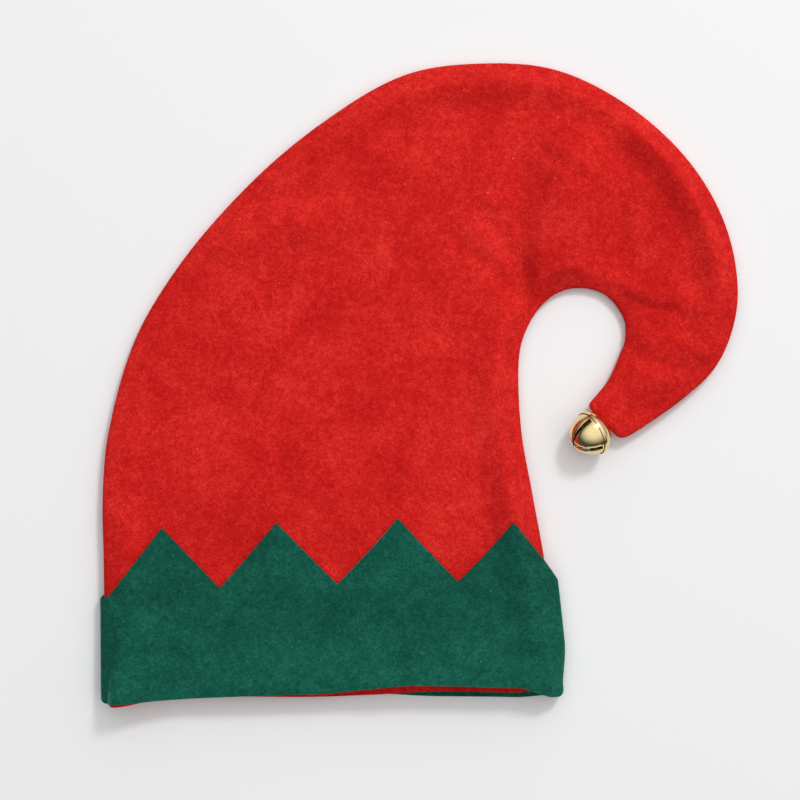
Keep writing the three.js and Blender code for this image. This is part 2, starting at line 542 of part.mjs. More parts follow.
const hat = new THREE.Group();
hat.add(named("crown_upper_panel", new THREE.Mesh(withRoomForLoop(crownPanel(1, RIM_STEPS, UPPER_COLUMNS)), redFelt)));
hat.add(named("crown_lower_panel", new THREE.Mesh(withRoomForLoop(crownPanel(-1, BEND_STEPS, LOWER_COLUMNS)), redFelt)));
hat.add(named("zigzag_band", new THREE.Mesh(zigzagBand(), greenFelt)));
hat.add(bell);
hat.add(named("bell_pellet", pellet()));

// The hat stands with its origin on the table, under the middle of its bounding box
hat.updateMatrixWorld(true);
const bounds = new THREE.Box3().setFromObject(hat, true);
const middle = bounds.getCenter(new THREE.Vector3());
hat.position.set(-middle.x, -middle.y, -bounds.min.z);

export default hat;
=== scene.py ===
# %% [markdown]
# # A felt elf hat with a curled tip and a bell
#
# The real hat is a cheap costume piece. Two red panels of polyester felt are cut to one curled outline,
# sewn together round the edge with the wrong side out, and turned, so the seam is a soft groove and no
# stitch shows. A green band is cut as a strip with a zigzag edge and goes round the open hem. A round
# jingle bell hangs from the closed end of the curl. The hat lies on its side on a white table, photographed
# from straight above.
#
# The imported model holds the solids. This notebook dresses them: it works out the same surfaces finely, from
# the same sizes but for the few that are named below, and adds the creases, the nap of the felt, its loose
# fibres and the pressed edges and rubbed plating of the bell.

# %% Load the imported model
import math

import bpy
import numpy as np
from mathutils import Matrix, Vector


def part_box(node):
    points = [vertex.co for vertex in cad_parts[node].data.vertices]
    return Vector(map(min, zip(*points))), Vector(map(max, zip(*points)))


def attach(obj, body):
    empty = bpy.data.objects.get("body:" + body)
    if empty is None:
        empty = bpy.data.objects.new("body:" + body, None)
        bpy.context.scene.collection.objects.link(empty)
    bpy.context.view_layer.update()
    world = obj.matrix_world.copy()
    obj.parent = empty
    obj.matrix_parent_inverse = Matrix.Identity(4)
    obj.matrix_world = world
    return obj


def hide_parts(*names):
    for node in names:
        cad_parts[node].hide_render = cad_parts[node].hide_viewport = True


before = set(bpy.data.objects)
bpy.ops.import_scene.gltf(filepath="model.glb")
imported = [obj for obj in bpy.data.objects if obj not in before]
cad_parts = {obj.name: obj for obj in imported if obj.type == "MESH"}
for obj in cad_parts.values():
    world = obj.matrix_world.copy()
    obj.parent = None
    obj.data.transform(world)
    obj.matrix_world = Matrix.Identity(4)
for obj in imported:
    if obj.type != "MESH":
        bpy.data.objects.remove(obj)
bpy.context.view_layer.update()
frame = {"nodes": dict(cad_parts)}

MM = 0.001
print("solids:", ", ".join(frame["nodes"]))

# %% [markdown]
# ## Camera, table and light
#
# The hat was photographed on a white sweep from straight above. A soft light stands beyond the top edge of
# the picture, to the right, so the shadows fall towards the bottom left. The room is bright above and on
# that side, and dark on the side away from it, which the polished bell shows. Behind the table the camera
# alone sees a white backdrop, which gives the hat no light.

# %% Camera
CAMERA_HEIGHT = 1.4
VIEW_WIDTH = 0.5043  # how much of the hat's seam plane the picture spans
VIEW_CENTRE = (-0.0119, -0.01095)
SEAM_PLANE = 0.006

scene = bpy.context.scene
camera = bpy.data.objects.new("camera", bpy.data.cameras.new("camera"))
camera.location = (*VIEW_CENTRE, CAMERA_HEIGHT)
camera.data.sensor_width = 36
camera.data.lens = camera.data.sensor_width * (CAMERA_HEIGHT - SEAM_PLANE) / VIEW_WIDTH
scene.collection.objects.link(camera)
scene.camera = camera
print("lens in mm:", round(camera.data.lens, 1))

# %% Table and light
TABLE_SIZE = 12.0
TABLE_WHITE = (0.86, 0.86, 0.865, 1)
KEY_HEADING = 58  # direction of the light in plan, in degrees from +X
KEY_HEIGHT = 48  # how high it stands, in degrees
KEY_DISTANCE = 2.7
KEY_SIZE = 0.5
KEY_POWER = 25
ROOM_LIGHT = 1.185  # strength of the room's light from the side of the window
ROOM_SHADE = 0.08  # and from the side away from it
ROOM_HEIGHT = 68  # height of the middle of the window's glow, in degrees
ROOM_BACKDROP = 0.86  # the far end of the white sweep, which shows behind the table from a low side
ROOM_EDGES = (0.1, 1.0)  # cosines of the angle from that middle, where the shade and the full glow start


def new_material(name, roughness, metallic=0.0):
    """A material and its shader."""
    material = bpy.data.materials.new(name)
    material.use_nodes = True
    shader = material.node_tree.nodes["Principled BSDF"]
    shader.inputs["Roughness"].default_value = roughness
    shader.inputs["Metallic"].default_value = metallic
    return material, shader


def node(tree, kind, **values):
    """A node of a tree, with some of its sockets and settings given by name."""
    made = tree.nodes.new(kind)
    for name, value in values.items():
        socket = made.inputs.get(name.replace("_", " ").capitalize())
        if hasattr(made, name):
            setattr(made, name, value)
        else:
            socket.default_value = value
    return made


def sum_node(tree, operation, *terms):
    """The result of a math node, where each term is a number or another node's output."""
    made = node(tree, "ShaderNodeMath", operation=operation)
    for socket, term in zip(made.inputs, terms):
        if isinstance(term, bpy.types.NodeSocket):
            tree.links.new(term, socket)
        else:
            socket.default_value = term
    return made.outputs[0]


def ranged(tree, value, start, end, low=0.0, high=1.0, interpolation_type="LINEAR"):
    """A value that runs from low to high while another node's output runs from start to end."""
    made = node(tree, "ShaderNodeMapRange", interpolation_type=interpolation_type)
    tree.links.new(value, made.inputs["Value"])
    for name, limit in (("From Min", start), ("From Max", end), ("To Min", low), ("To Max", high)):
        made.inputs[name].default_value = limit
    return made.outputs["Result"]


def mesh_object(name, points, faces, material=None):
    """A mesh object from points in millimetres and faces that list their corners."""
    mesh = bpy.data.meshes.new(name)
    mesh.from_pydata((np.asarray(points) * MM).tolist(), [], [list(map(int, face)) for face in faces])
    mesh.validate()
    obj = bpy.data.objects.new(name, mesh)
    scene.collection.objects.link(obj)
    if material:
        mesh.materials.append(material)
    return obj


half = TABLE_SIZE / 2 / MM
table_material, table_shader = new_material("white_table", 0.6)
table_shader.inputs["Base Color"].default_value = TABLE_WHITE
table_shader.inputs["Specular IOR Level"].default_value = 0.1
table = mesh_object(
    "table",
    [(-half, -half, 0), (half, -half, 0), (half, half, 0), (-half, half, 0)],
    [(0, 1, 2, 3)],
    table_material,
)

key = bpy.data.objects.new("key_light", bpy.data.lights.new("key_light", "AREA"))
key.data.size = KEY_SIZE
key.data.energy = KEY_POWER
heading, height = math.radians(KEY_HEADING), math.radians(KEY_HEIGHT)


def direction(heading, height):
    return (math.cos(heading) * math.cos(height), math.sin(heading) * math.cos(height), math.sin(height))


towards = Vector(direction(heading, height))
key.location = towards * KEY_DISTANCE
key.rotation_mode = "QUATERNION"
key.rotation_quaternion = towards.to_track_quat("Z", "Y")
scene.collection.objects.link(key)

world = bpy.data.worlds.new("room")
world.use_nodes = True
sky = world.node_tree
glow = node(sky, "ShaderNodeVectorMath", operation="DOT_PRODUCT")
sky.links.new(node(sky, "ShaderNodeTexCoord").outputs["Generated"], glow.inputs[0])
glow.inputs[1].default_value = direction(heading, math.radians(ROOM_HEIGHT))
strength = ranged(sky, glow.outputs["Value"], *ROOM_EDGES, ROOM_SHADE, ROOM_LIGHT, "SMOOTHSTEP")
behind = node(sky, "ShaderNodeMix", data_type="FLOAT", B=ROOM_BACKDROP)
sky.links.new(node(sky, "ShaderNodeLightPath").outputs["Is Camera Ray"], behind.inputs["Factor"])
sky.links.new(strength, behind.inputs["A"])
sky.links.new(behind.outputs["Result"], sky.nodes["Background"].inputs["Strength"])
sky.nodes["Background"].inputs["Color"].default_value = (1, 1, 1, 1)
scene.world = world
scene.view_settings.view_transform = "Standard"
scene.view_settings.look = "None"

# %% [markdown]
# ## The shape of the hat
#
# A panel of felt is flat when it is cut and stays nearly flat in the sewn hat, so its shape has one rule: a
# line across the hat slides and turns along the curl from the hem to the tip. Each line rolls down to the
# seam at both ends, and bulges a little between. A table holds the lines, and a second one the folds, in
# shares of a few sizes.

# %% Sizes in millimetres
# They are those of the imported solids, apart from SEAM_FLAT, SEWN_GAP, ROLL_POWER, the hem's corners and
# fullness, HEM_PEEK and PEEKS, which are the scene's own.
HEM_WIDTH = 286
TIP_WIDTH = 30
TIP_CORNER = 4
CROWN_RISE = 330
CURL_REACH = 220
CROWN_FELT = 1.6
SEAM_GAP = 0.3
SEAM_FLAT = 2.2  # no fold reaches into the seam itself, this far in from its edge
SEWN_GAP = 0.02  # what the thread leaves of that gap where the two panels are drawn together
SEAM_BEND = 6.4
SEAM_RISE = 3.0
SEAM_DROP = 1.6
ROLL_POWER = 3  # 2 is a round roll, and more is a tighter one
HEM_CORNER = 4.5  # radius of the hem's two corners
CORNER_LIFT = 2.0  # how far the hem's outer corner is curled up off the table
CORNER_REACH = 32  # and how far that goes in from the corner
HEM_FULLNESS = 0.75  # how much steeper the hem rises from its corners than the crown from its seams
LOFT = 6.5
RIM_HEIGHT = 6
RIM_PLACE = 11
RIM_WIDTH = 23
FOLD_WIDTH = 10
FOLD_HEIGHT = 2
TIP_LIFT = 4.8
UPPER_BOW = 4.7
LOWER_BOW = 3.0
MOUTH_ARCH = 5.5
ARCH_OPENS = (0.46, 0.68)
MOUTH_SAG = 2.0
SAG_OPENS = (0.56, 0.74)
MOUTH_CLOSES = (0.9, 0.985)
HEM_TUCK = 3.4
TUCK_STARTS = (0.58, 0.74)
HEM_PEEK = 1.6  # how far the lower panel comes out below the band
PEEKS = ((0.035, 0.06), (0.46, 0.22))  # the places where it does, and half their widths
BAND_FELT = 1.5
BAND_CLEARANCE = 1.2
BAND_HEIGHT = 112
BAND_FLARE = 4.4
FLARE_HEIGHT = 36
BAND_LAYER = BAND_FELT + BAND_CLEARANCE

# Lines across the hat: where the middle lies, as shares of CURL_REACH and CROWN_RISE, the width between
# TIP_WIDTH and HEM_WIDTH, the direction in degrees, and shares of LOFT, of RIM_HEIGHT at both seams and of
# TIP_LIFT
SECTION_COLUMNS = ("reach", "rise", "taper", "turn", "loft", "outer_rim", "inner_rim", "lift")
SECTION_ROWS = [
    (0, 0, 1, 0.8, 0.2, 0.5, 0.5, 0),
    (-0.024, 0.264, 0.967, 0, 0.6, 0.5, 1.1, 0),
    (-0.042, 0.388, 0.941, 0, 0.8, 0, 1.3, 0),
    (-0.05, 0.512, 0.899, 0, 0.9, 0, 0.9, 0),
    (-0.017, 0.663, 0.831, -3.3, 0.9, 0, 0.8, 0),
    (0.053, 0.761, 0.754, -10.8, 0.9, 0, 0.4, 0),
    (0.168, 0.859, 0.664, -22.5, 0.85, 0.2, 0, 0),
    (0.301, 0.936, 0.589, -38, 0.8, 0.6, 0, 0),
    (0.436, 0.987, 0.543, -53.5, 0.7, 0.7, 0, 0),
    (0.563, 1, 0.486, -66.6, 0.5, 0.9, 0, 0),
    (0.689, 0.993, 0.43, -80.9, 0.4, 0.7, 0, 0),
    (0.811, 0.955, 0.355, -96.3, 0.3, 0.9, 0, 0),
    (0.916, 0.891, 0.289, -114.3, 0.2, 1.2, 0.1, 0),
    (0.981, 0.815, 0.231, -134.5, 0.15, 1.3, 0.1, 0.05),
    (1, 0.733, 0.188, -155.6, 0.1, 1.1, 0.1, 0.12),
    (0.982, 0.676, 0.157, -171.2, 0.2, 0.4, 0, 0.25),
    (0.949, 0.631, 0.125, -181.8, 0.3, 0.1, 0, 0.42),
    (0.9, 0.593, 0.079, -191, 0.25, 0, 0, 0.62),
    (0.837, 0.557, 0.034, -205.3, 0.2, 0, 0, 0.84),
    (0.777, 0.527, 0, -225.9, 0.15, 0, 0, 1),
]
SECTION = dict(zip(SECTION_COLUMNS, np.array(SECTION_ROWS, dtype=float).T))

# Folds of the upper layer: ridges, or valleys where the height is below 0, from (x, y) to (to_x, to_y) in
# shares of CURL_REACH and CROWN_RISE, with their width and height in shares of FOLD_WIDTH and FOLD_HEIGHT
MAIN_FOLDS = [
    (0.692, 1.049, 0.652, 0.781, 1.9, 3.2),
    (0.804, 1.097, 0.829, 0.848, 1.8, -2.0),
    (0.52, 0.973, 0.531, 0.781, 1.1, -1.3),
    (0.494, 1.049, 0.566, 0.982, 1.2, -0.7),
    (0.351, 0.877, 0.537, 0.766, 0.6, -0.8),
    (-0.38, 0.867, -0.093, 0.904, 1.2, 1.4),
    (-0.093, 0.904, 0.193, 0.927, 1.2, 0.6),
    (0.801, 0.797, 1.039, 0.751, 0.8, 1.3),
    (0.829, 0.696, 1.11, 0.652, 0.7, 1.2),
    (0.875, 0.613, 1.053, 0.594, 0.7, 0.8),
    (0.809, 0.562, 0.895, 0.547, 0.7, -0.8),
    (-0.609, -0.006, 0.594, 0.004, 2.4, 3.2),
    (-0.294, 0.113, 0.451, 0.128, 2.6, -0.7),
    (0.48, 0.686, 0.494, 0.304, 3.0, 1.0),
    (-0.523, 0.18, -0.409, 0.036, 2.4, -0.3),
]

# Creases that are too fine for the solids, in the same columns
FINE_FOLDS = [
    (-0.652, -0.002, -0.55, 0.002, 1.6, 0.8),
    (-0.48, 0.004, 0.05, 0.006, 1.2, -1.3),
    (0.152, 0.01, 0.48, 0.01, 1.0, 1.9),
    (0.6, 0.0, 0.66, 0.0, 1.0, -2.6),
    (0.107, 0.071, 0.609, 0.084, 0.5, -0.5),
    (0.43, 0.93, 0.56, 0.8, 0.6, -0.8),
    (0.6, 0.9, 0.58, 0.79, 0.5, 0.7),
    (0.74, 1.02, 0.76, 0.84, 0.6, 0.8),
    (0.86, 0.93, 0.87, 0.83, 0.5, 0.7),
    (0.88, 0.75, 0.98, 0.74, 0.35, -0.6),
    (0.84, 0.655, 1.0, 0.63, 0.35, -0.6),
    (0.494, 0.243, 0.617, 0.231, 0.45, 0.5),
    (0.494, 0.189, 0.617, 0.184, 0.45, 0.5),
    (0.494, 0.113, 0.617, 0.119, 0.5, 0.5),
    (0.594, 1.049, 0.695, 0.992, 0.4, -0.4),
    (0.666, 1.045, 0.752, 1.007, 0.4, 0.4),
    (0.824, 0.953, 0.815, 0.835, 0.35, -0.5),
    (0.953, 0.671, 1.087, 0.632, 0.4, -0.5),
    (-0.615, 0.166, -0.48, 0.182, 0.5, -0.6),
    (-0.623, 0.094, -0.48, 0.084, 0.5, -0.5),
    (-0.609, 0.113, -0.495, 0.017, 0.6, 0.6),
    (-0.294, 0.113, 0.451, 0.128, 1.6, -0.5),
    (-0.523, 0.18, -0.409, 0.036, 0.9, -0.6),
]


# %% Functions of the surface
def smooth(x, start, end):
    share = np.clip((x - start) / (end - start), 0, 1)
    return share * share * (3 - 2 * share)


def bump(x):
    """1 at the middle and 0 from one half width away from it."""
    return np.where(np.abs(x) < 1, (1 + np.cos(np.pi * x)) / 2, 0)


def turn_in(x):
    """How far a felt edge has turned flat, from 0 at the seam to 1 at the end of the bend."""
    return np.sqrt(np.clip(1 - (1 - np.clip(x, 0, 1)) ** ROLL_POWER, 0, 1))


middles = np.stack([SECTION["reach"] * CURL_REACH, SECTION["rise"] * CROWN_RISE], axis=1)
marks = np.concatenate([[0], np.cumsum(np.linalg.norm(np.diff(middles, axis=0), axis=1))])
CROWN_LENGTH = marks[-1]


def curve_through(values):
    """A smooth curve through one value of each section, as a function of the distance from the hem."""
    values = np.asarray(values, dtype=float)
    last = len(values) - 1
    before = np.maximum(np.arange(last + 1) - 1, 0)
    after = np.minimum(np.arange(last + 1) + 1, last)
    slopes = (values[after] - values[before]) / (marks[after] - marks[before])

    def curve(along):
        place = np.clip(np.searchsorted(marks, along, side="right") - 1, 0, last - 1)
        span = marks[place + 1] - marks[place]
        u = np.clip((along - marks[place]) / span, 0, 1)
        return (
            (2 * u**3 - 3 * u**2 + 1) * values[place]
            + (u**3 - 2 * u**2 + u) * span * slopes[place]
            + (3 * u**2 - 2 * u**3) * values[place + 1]
            + (u**3 - u**2) * span * slopes[place + 1]
        )

    return curve


middle_x = curve_through(middles[:, 0])
middle_y = curve_through(middles[:, 1])
cut_width_at = curve_through(TIP_WIDTH + SECTION["taper"] * (HEM_WIDTH - TIP_WIDTH))
turn_at = curve_through(np.radians(SECTION["turn"]))
loft_at = curve_through(SECTION["loft"] * LOFT)
outer_rim_at = curve_through(SECTION["outer_rim"] * RIM_HEIGHT)
inner_rim_at = curve_through(SECTION["inner_rim"] * RIM_HEIGHT)
tip_lift_at = curve_through(SECTION["lift"] * TIP_LIFT)


def width_at(along):
    """The width of the crown, with the corners of the closed end rounded off."""
    in_corner = TIP_CORNER - np.clip(CROWN_LENGTH - along, 0, TIP_CORNER)
    return cut_width_at(along) - 2 * (TIP_CORNER - np.sqrt(TIP_CORNER**2 - in_corner**2))


def seam_height_at(along):
    on_band = BAND_LAYER * (1 - smooth(along, BAND_HEIGHT, 2 * BAND_HEIGHT))
    return on_band + tip_lift_at(along) + SEAM_DROP + CROWN_FELT + SEAM_GAP / 2


def folds_at(x, y, rows):
    height = np.zeros(np.broadcast(x, y).shape)
    for start_x, start_y, end_x, end_y, width, rise in rows:
        start = np.array([start_x * CURL_REACH, start_y * CROWN_RISE])
        run = np.array([end_x * CURL_REACH, end_y * CROWN_RISE]) - start
        share = np.clip(((x - start[0]) * run[0] + (y - start[1]) * run[1]) / run.dot(run), 0, 1)
        away = np.hypot(x - start[0] - share * run[0], y - start[1] - share * run[1])
        height += rise * FOLD_HEIGHT * np.exp(-((away / (width * FOLD_WIDTH)) ** 2))
    return height


RIPPLE_SEED = 5
RIPPLE_WAVES = 26
RIPPLE_LENGTHS = (24, 80)  # shortest and longest wave of the felt's slight unevenness
RIPPLE_HEIGHT = 0.085  # of one wave of the middle length
ripple_random = np.random.default_rng(RIPPLE_SEED)
ripple_length = ripple_random.uniform(*RIPPLE_LENGTHS, RIPPLE_WAVES)
ripple_turn = ripple_random.uniform(0, 2 * np.pi, RIPPLE_WAVES)
ripple_start = ripple_random.uniform(0, 2 * np.pi, RIPPLE_WAVES)


def ripples_at(x, y):
    """Felt is never quite flat: a sum of long, low waves in every direction."""
    height = np.zeros(np.broadcast(x, y).shape)
    for length, turn, start in zip(ripple_length, ripple_turn, ripple_start):
        phase = 2 * np.pi * (x * np.cos(turn) + y * np.sin(turn)) / length + start
        height += RIPPLE_HEIGHT * length / np.mean(RIPPLE_LENGTHS) * np.sin(phase)
    return height


def layer_points(side, along, from_outer, inset, climb, stand=SEWN_GAP / 2):
    """Points of one layer of the hat. side is 1 on the upper layer and -1 on the lower, along the distance
    from the hem, from_outer the distance from the layer's edge at the outer seam, inset how far the layer lies
    inside the crown's outer face, climb how far it has turned flat, and stand half the gap between the sides
    at the seam."""
    width = width_at(along)
    across = from_outer / (width - 2 * inset)
    turn = turn_at(along)
    offset = inset + from_outer - width / 2
    bow = 4 * across * (1 - across)
    mouth_end = 1 - smooth(across, *MOUTH_CLOSES)
    upper_in = UPPER_BOW * bow + MOUTH_ARCH * smooth(across, *ARCH_OPENS) * mouth_end
    lower_in = LOWER_BOW * bow - MOUTH_SAG * smooth(across, *SAG_OPENS) * mouth_end
    drawn = np.where(side > 0, upper_in, lower_in) * (1 - smooth(along, 0, BAND_HEIGHT))
    at_hem = 1 - smooth(along, 0, BAND_HEIGHT / 2)
    from_corner = np.clip(np.minimum(across, 1 - across) * (width - 2 * inset) / HEM_CORNER, 0, 1)
    cut_off = HEM_CORNER * (1 - np.sqrt(1 - (1 - from_corner) ** 2)) * (1 - smooth(along, 0, 4 * HEM_CORNER))
    x = middle_x(along) + offset * np.cos(turn)
    y = middle_y(along) + offset * np.sin(turn) + drawn + cut_off

    in_from_outer = from_outer + inset
    in_from_inner = width - in_from_outer
    edge = np.minimum(np.minimum(in_from_outer, in_from_inner), CROWN_LENGTH - along)
    relief = (
        loft_at(along) * np.sin(np.pi * np.clip(in_from_outer / width, 0, 1))
        + folds_at(x, y, MAIN_FOLDS)
        + folds_at(x, y, FINE_FOLDS)
        + ripples_at(x, y)
        + outer_rim_at(along) * bump((in_from_outer - RIM_PLACE) / RIM_WIDTH)
        + inner_rim_at(along) * bump((in_from_inner - RIM_PLACE) / RIM_WIDTH)
    ) * smooth(edge - SEAM_FLAT, 0, 2 * SEAM_BEND * (1 - HEM_FULLNESS * at_hem))
    rise = stand + (SEAM_GAP / 2 - stand + SEAM_RISE + CROWN_FELT - inset) * climb + relief
    fall = stand + (SEAM_GAP / 2 - stand + SEAM_DROP + CROWN_FELT - inset) * climb
    z = seam_height_at(along) + np.where(side > 0, rise, -fall)
    z = z + CORNER_LIFT * (1 - smooth(from_outer, 0, CORNER_REACH)) * (1 - smooth(along, 0, 2 * CORNER_REACH))
    return np.stack(np.broadcast_arrays(x, y, z), axis=-1)


# The tables count from the middle of the hem. The lower panel's own box says where that lies in the packed
# model.
flat_along = np.linspace(0, CROWN_LENGTH, 400)[:, None]
flat_from_outer = width_at(flat_along) * np.array([0, 1])
outline = layer_points(-1, flat_along, flat_from_outer, 0, 0.0)[..., :2].reshape(-1, 2)
low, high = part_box("crown_lower_panel")
ORIGIN_X = (low[0] + high[0]) / 2 / MM - (outline[:, 0].min() + outline[:, 0].max()) / 2
ORIGIN_Y = high[1] / MM - outline[:, 1].max()
print("the hem's middle lies at", round(ORIGIN_X, 1), round(ORIGIN_Y, 1))


def placed(points):
    return points + np.array([ORIGIN_X, ORIGIN_Y, 0])


# %% [markdown]
# ## The nap of felt
#
# Felt is a mat of short fibres without a weave. Close up it is a cloudy mesh of fine curved hairs, a little
# lighter where they stand up and darker between them, and here and there lies a pale speck of lint. It has
# no shine, only the soft glow of the hairs against the light. So the colour comes from twisted noise at the
# size of single fibres, of tufts and of the uneven thickness of the sheet, and the same noise gives the
# bump. That colour is partly the felt's own uneven tone and partly painted shade. It is darker where the
# bump is low, so the hollows between the hairs are painted darker and their tops are painted lighter.

# %% Felt material
FIBRE_SCALE = 760  # cells of a metre of felt, for the finest noise
TUFT_SCALE = 240
CLOUD_SCALE = 34
TUFT_WEIGHT = 0.5
CLOUD_WEIGHT = 0.46
LINT_SCALE = 60  # cells of a metre that may each hold a speck of lint
LINT_SIZE = 0.026
LINT_SHOWS = 0.25
LINT_COLOUR = (0.8, 0.6, 0.55, 1)
NOISE_DETAIL = 3
FIBRE_TWIST = 1.4  # how far each noise is distorted, so that its cells look like curled hairs
TUFT_TWIST = 0.7
CLOUD_TWIST = 0.4
DEEP_TO_LIGHT = (0.75, 1.22)  # sums of the three noises that have the deepest and the lightest colour
NAP_STRENGTH = 0.4
NAP_DEPTH = 0.7 * MM
FELT_GLOSS = 0.15
GLOW_WEIGHT = 0.6  # of the light that stands in the hairs
GLOW_ROUGHNESS = 0.3


def felt_material(name, deep, middle, light, sheen_tint):
    material, shader = new_material(name, 0.95)
    tree = material.node_tree
    place = node(tree, "ShaderNodeTexCoord").outputs["Object"]

    def noise(scale, twist):
        made = node(tree, "ShaderNodeTexNoise", Scale=scale, Detail=NOISE_DETAIL, Roughness=0.6)
        made.inputs["Distortion"].default_value = twist
        tree.links.new(place, made.inputs["Vector"])
        return made.outputs["Fac"]

    fibres = noise(FIBRE_SCALE, FIBRE_TWIST)
    tufted = sum_node(tree, "MULTIPLY_ADD", noise(TUFT_SCALE, TUFT_TWIST), TUFT_WEIGHT, fibres)
    tone_and_nap_shade = sum_node(tree, "MULTIPLY_ADD", noise(CLOUD_SCALE, CLOUD_TWIST), CLOUD_WEIGHT, tufted)
    # The colour follows the same noise as the bump. It is the felt's own random tone, with painted shade in the
    # bump's hollows and a painted lighter tone on its tops.
    ramp = node(tree, "ShaderNodeValToRGB")
    ramp.color_ramp.elements[0].color = (*deep, 1)
    ramp.color_ramp.elements[1].color = (*light, 1)
    ramp.color_ramp.elements.new(0.5).color = (*middle, 1)
    tree.links.new(ranged(tree, tone_and_nap_shade, *DEEP_TO_LIGHT), ramp.inputs["Fac"])

    specks = node(tree, "ShaderNodeTexVoronoi", Scale=LINT_SCALE)
    tree.links.new(place, specks.inputs["Vector"])
    few = sum_node(tree, "LESS_THAN", specks.outputs["Distance"], LINT_SIZE)
    lint = node(tree, "ShaderNodeMix", data_type="RGBA")
    tree.links.new(sum_node(tree, "MULTIPLY", few, LINT_SHOWS), lint.inputs["Factor"])
    tree.links.new(ramp.outputs["Color"], lint.inputs["A"])
    lint.inputs["B"].default_value = LINT_COLOUR
    tree.links.new(lint.outputs["Result"], shader.inputs["Base Color"])

    nap = node(tree, "ShaderNodeBump", Strength=NAP_STRENGTH, Distance=NAP_DEPTH)
    tree.links.new(tufted, nap.inputs["Height"])
    tree.links.new(nap.outputs["Normal"], shader.inputs["Normal"])
    shader.inputs["Specular IOR Level"].default_value = FELT_GLOSS
    shader.inputs["Sheen Weight"].default_value = GLOW_WEIGHT
    shader.inputs["Sheen Roughness"].default_value = GLOW_ROUGHNESS
    shader.inputs["Sheen Tint"].default_value = (*sheen_tint, 1)
    return material


red_felt = felt_material(
    "red_felt",
    deep=(0.42, 0.004, 0.004),
    middle=(0.6, 0.011, 0.009),
    light=(0.8, 0.036, 0.027),
    sheen_tint=(1, 0.24, 0.18),
)
green_felt = felt_material(
    "green_felt",
    deep=(0.001, 0.048, 0.03),
    middle=(0.004, 0.085, 0.055),
    light=(0.013, 0.145, 0.096),
    sheen_tint=(0.14, 0.8, 0.62),
)
print("felt materials:", red_felt.name, green_felt.name)

# %% [markdown]
# ## The two red panels
#
# Both panels are cut at once from two layers of felt with one pattern, sewn round the curl with the wrong
# side out and turned, and the turned seam rolls in on itself. In the scene a panel is two grids of points,
# its outer and its inner face, joined by walls at the hem and along the seam.

# %% Panels
ROLL_STEPS = 9  # points across the roll at a seam
ROLL_START = -38  # where the roll starts inside the seam's groove, in degrees
CREST = 90
UPPER_GRID = (290, 118)  # rows and columns of points between the rolls
LOWER_GRID = (200, 60)
SHARP_ANGLE = math.radians(50)  # edges that turn further than this stay sharp


def roll(bend):
    """Distances in from the seam, and shares of the climb, across the roll of one seam."""
    angles = np.radians(np.linspace(ROLL_START, CREST, ROLL_STEPS))
    start = math.sin(math.radians(ROLL_START))
    inward = 1 - np.cos(angles)
    climb = np.where(angles > 0, turn_in(inward), np.sin(angles))
    return bend * inward, (climb - start) / (1 - start)


def even_rows(count, end):
    """Distances from the hem that are even along the outer seam."""
    fine = np.linspace(0, end, 2000)
    seam = layer_points(1, fine, 0 * fine, 0, 0.0)
    length = np.concatenate([[0], np.cumsum(np.linalg.norm(np.diff(seam, axis=0), axis=1))])
    return np.interp(np.linspace(0, length[-1], count), length, fine)


def panel_grid(side, rows, columns, inset):
    bend = SEAM_BEND + CROWN_FELT - inset
    inward, climbs = roll(bend)
    body = even_rows(rows, CROWN_LENGTH - inset - bend)[:-1]
    along = np.concatenate([body, CROWN_LENGTH - inset - inward[::-1]])[:, None]
    climb_along = np.concatenate([np.ones(len(body)), climbs[::-1]])[:, None]

    open_width = width_at(along) - 2 * inset
    between = np.linspace(0, 1, columns + 1)[None, 1:-1]
    middle = bend + between * (open_width - 2 * bend)
    left = np.broadcast_to(inward[None, :], (len(along), len(inward)))
    from_outer = np.concatenate([left, middle, open_width - left[:, ::-1]], axis=1)
    climb_across = np.concatenate([climbs, np.ones(columns - 1), climbs[::-1]])[None, :]

    hem = np.zeros_like(from_outer)
    across = from_outer[0] / open_width[0]
    peek = sum(bump((across - place) / width) for place, width in PEEKS)
    hem[0] = HEM_TUCK * smooth(across, *TUCK_STARTS) - HEM_PEEK * peek
    points = layer_points(side, along + np.maximum(hem, 0), from_outer, inset, climb_across * climb_along)
    points[..., 1] += np.minimum(hem, 0)
    return placed(points)


def solid_between(outer, inner, wrap=False):
    """Points and faces of the closed solid between two grids. wrap joins the last column to the first."""
    rows, columns = outer.shape[:2]
    points = np.concatenate([outer.reshape(-1, 3), inner.reshape(-1, 3)])
    index = np.arange(rows * columns).reshape(rows, columns)
    if wrap:
        index = np.concatenate([index, index[:, :1]], axis=1)
    under = index + rows * columns

    def quads(a, b, c, d):
        return np.stack([a, b, c, d], axis=-1).reshape(-1, 4)

    faces = [
        quads(index[:-1, :-1], index[:-1, 1:], index[1:, 1:], index[1:, :-1]),
        quads(under[:-1, :-1], under[1:, :-1], under[1:, 1:], under[:-1, 1:]),
        quads(index[0, 1:], index[0, :-1], under[0, :-1], under[0, 1:]),
        quads(index[-1, :-1], index[-1, 1:], under[-1, 1:], under[-1, :-1]),
    ]
    if not wrap:
        faces.append(quads(index[:-1, 0], index[1:, 0], under[1:, 0], under[:-1, 0]))
        faces.append(quads(index[1:, -1], index[:-1, -1], under[:-1, -1], under[1:, -1]))
    return points, np.concatenate(faces)


def felt_object(name, outer, inner, material, wrap=False, facing_up=True):
    points, faces = solid_between(outer, inner, wrap)
    obj = mesh_object(name, points, faces if facing_up else faces[:, ::-1], material)
    obj.data.shade_smooth()
    obj.data.set_sharp_from_angle(angle=SHARP_ANGLE)
    return obj


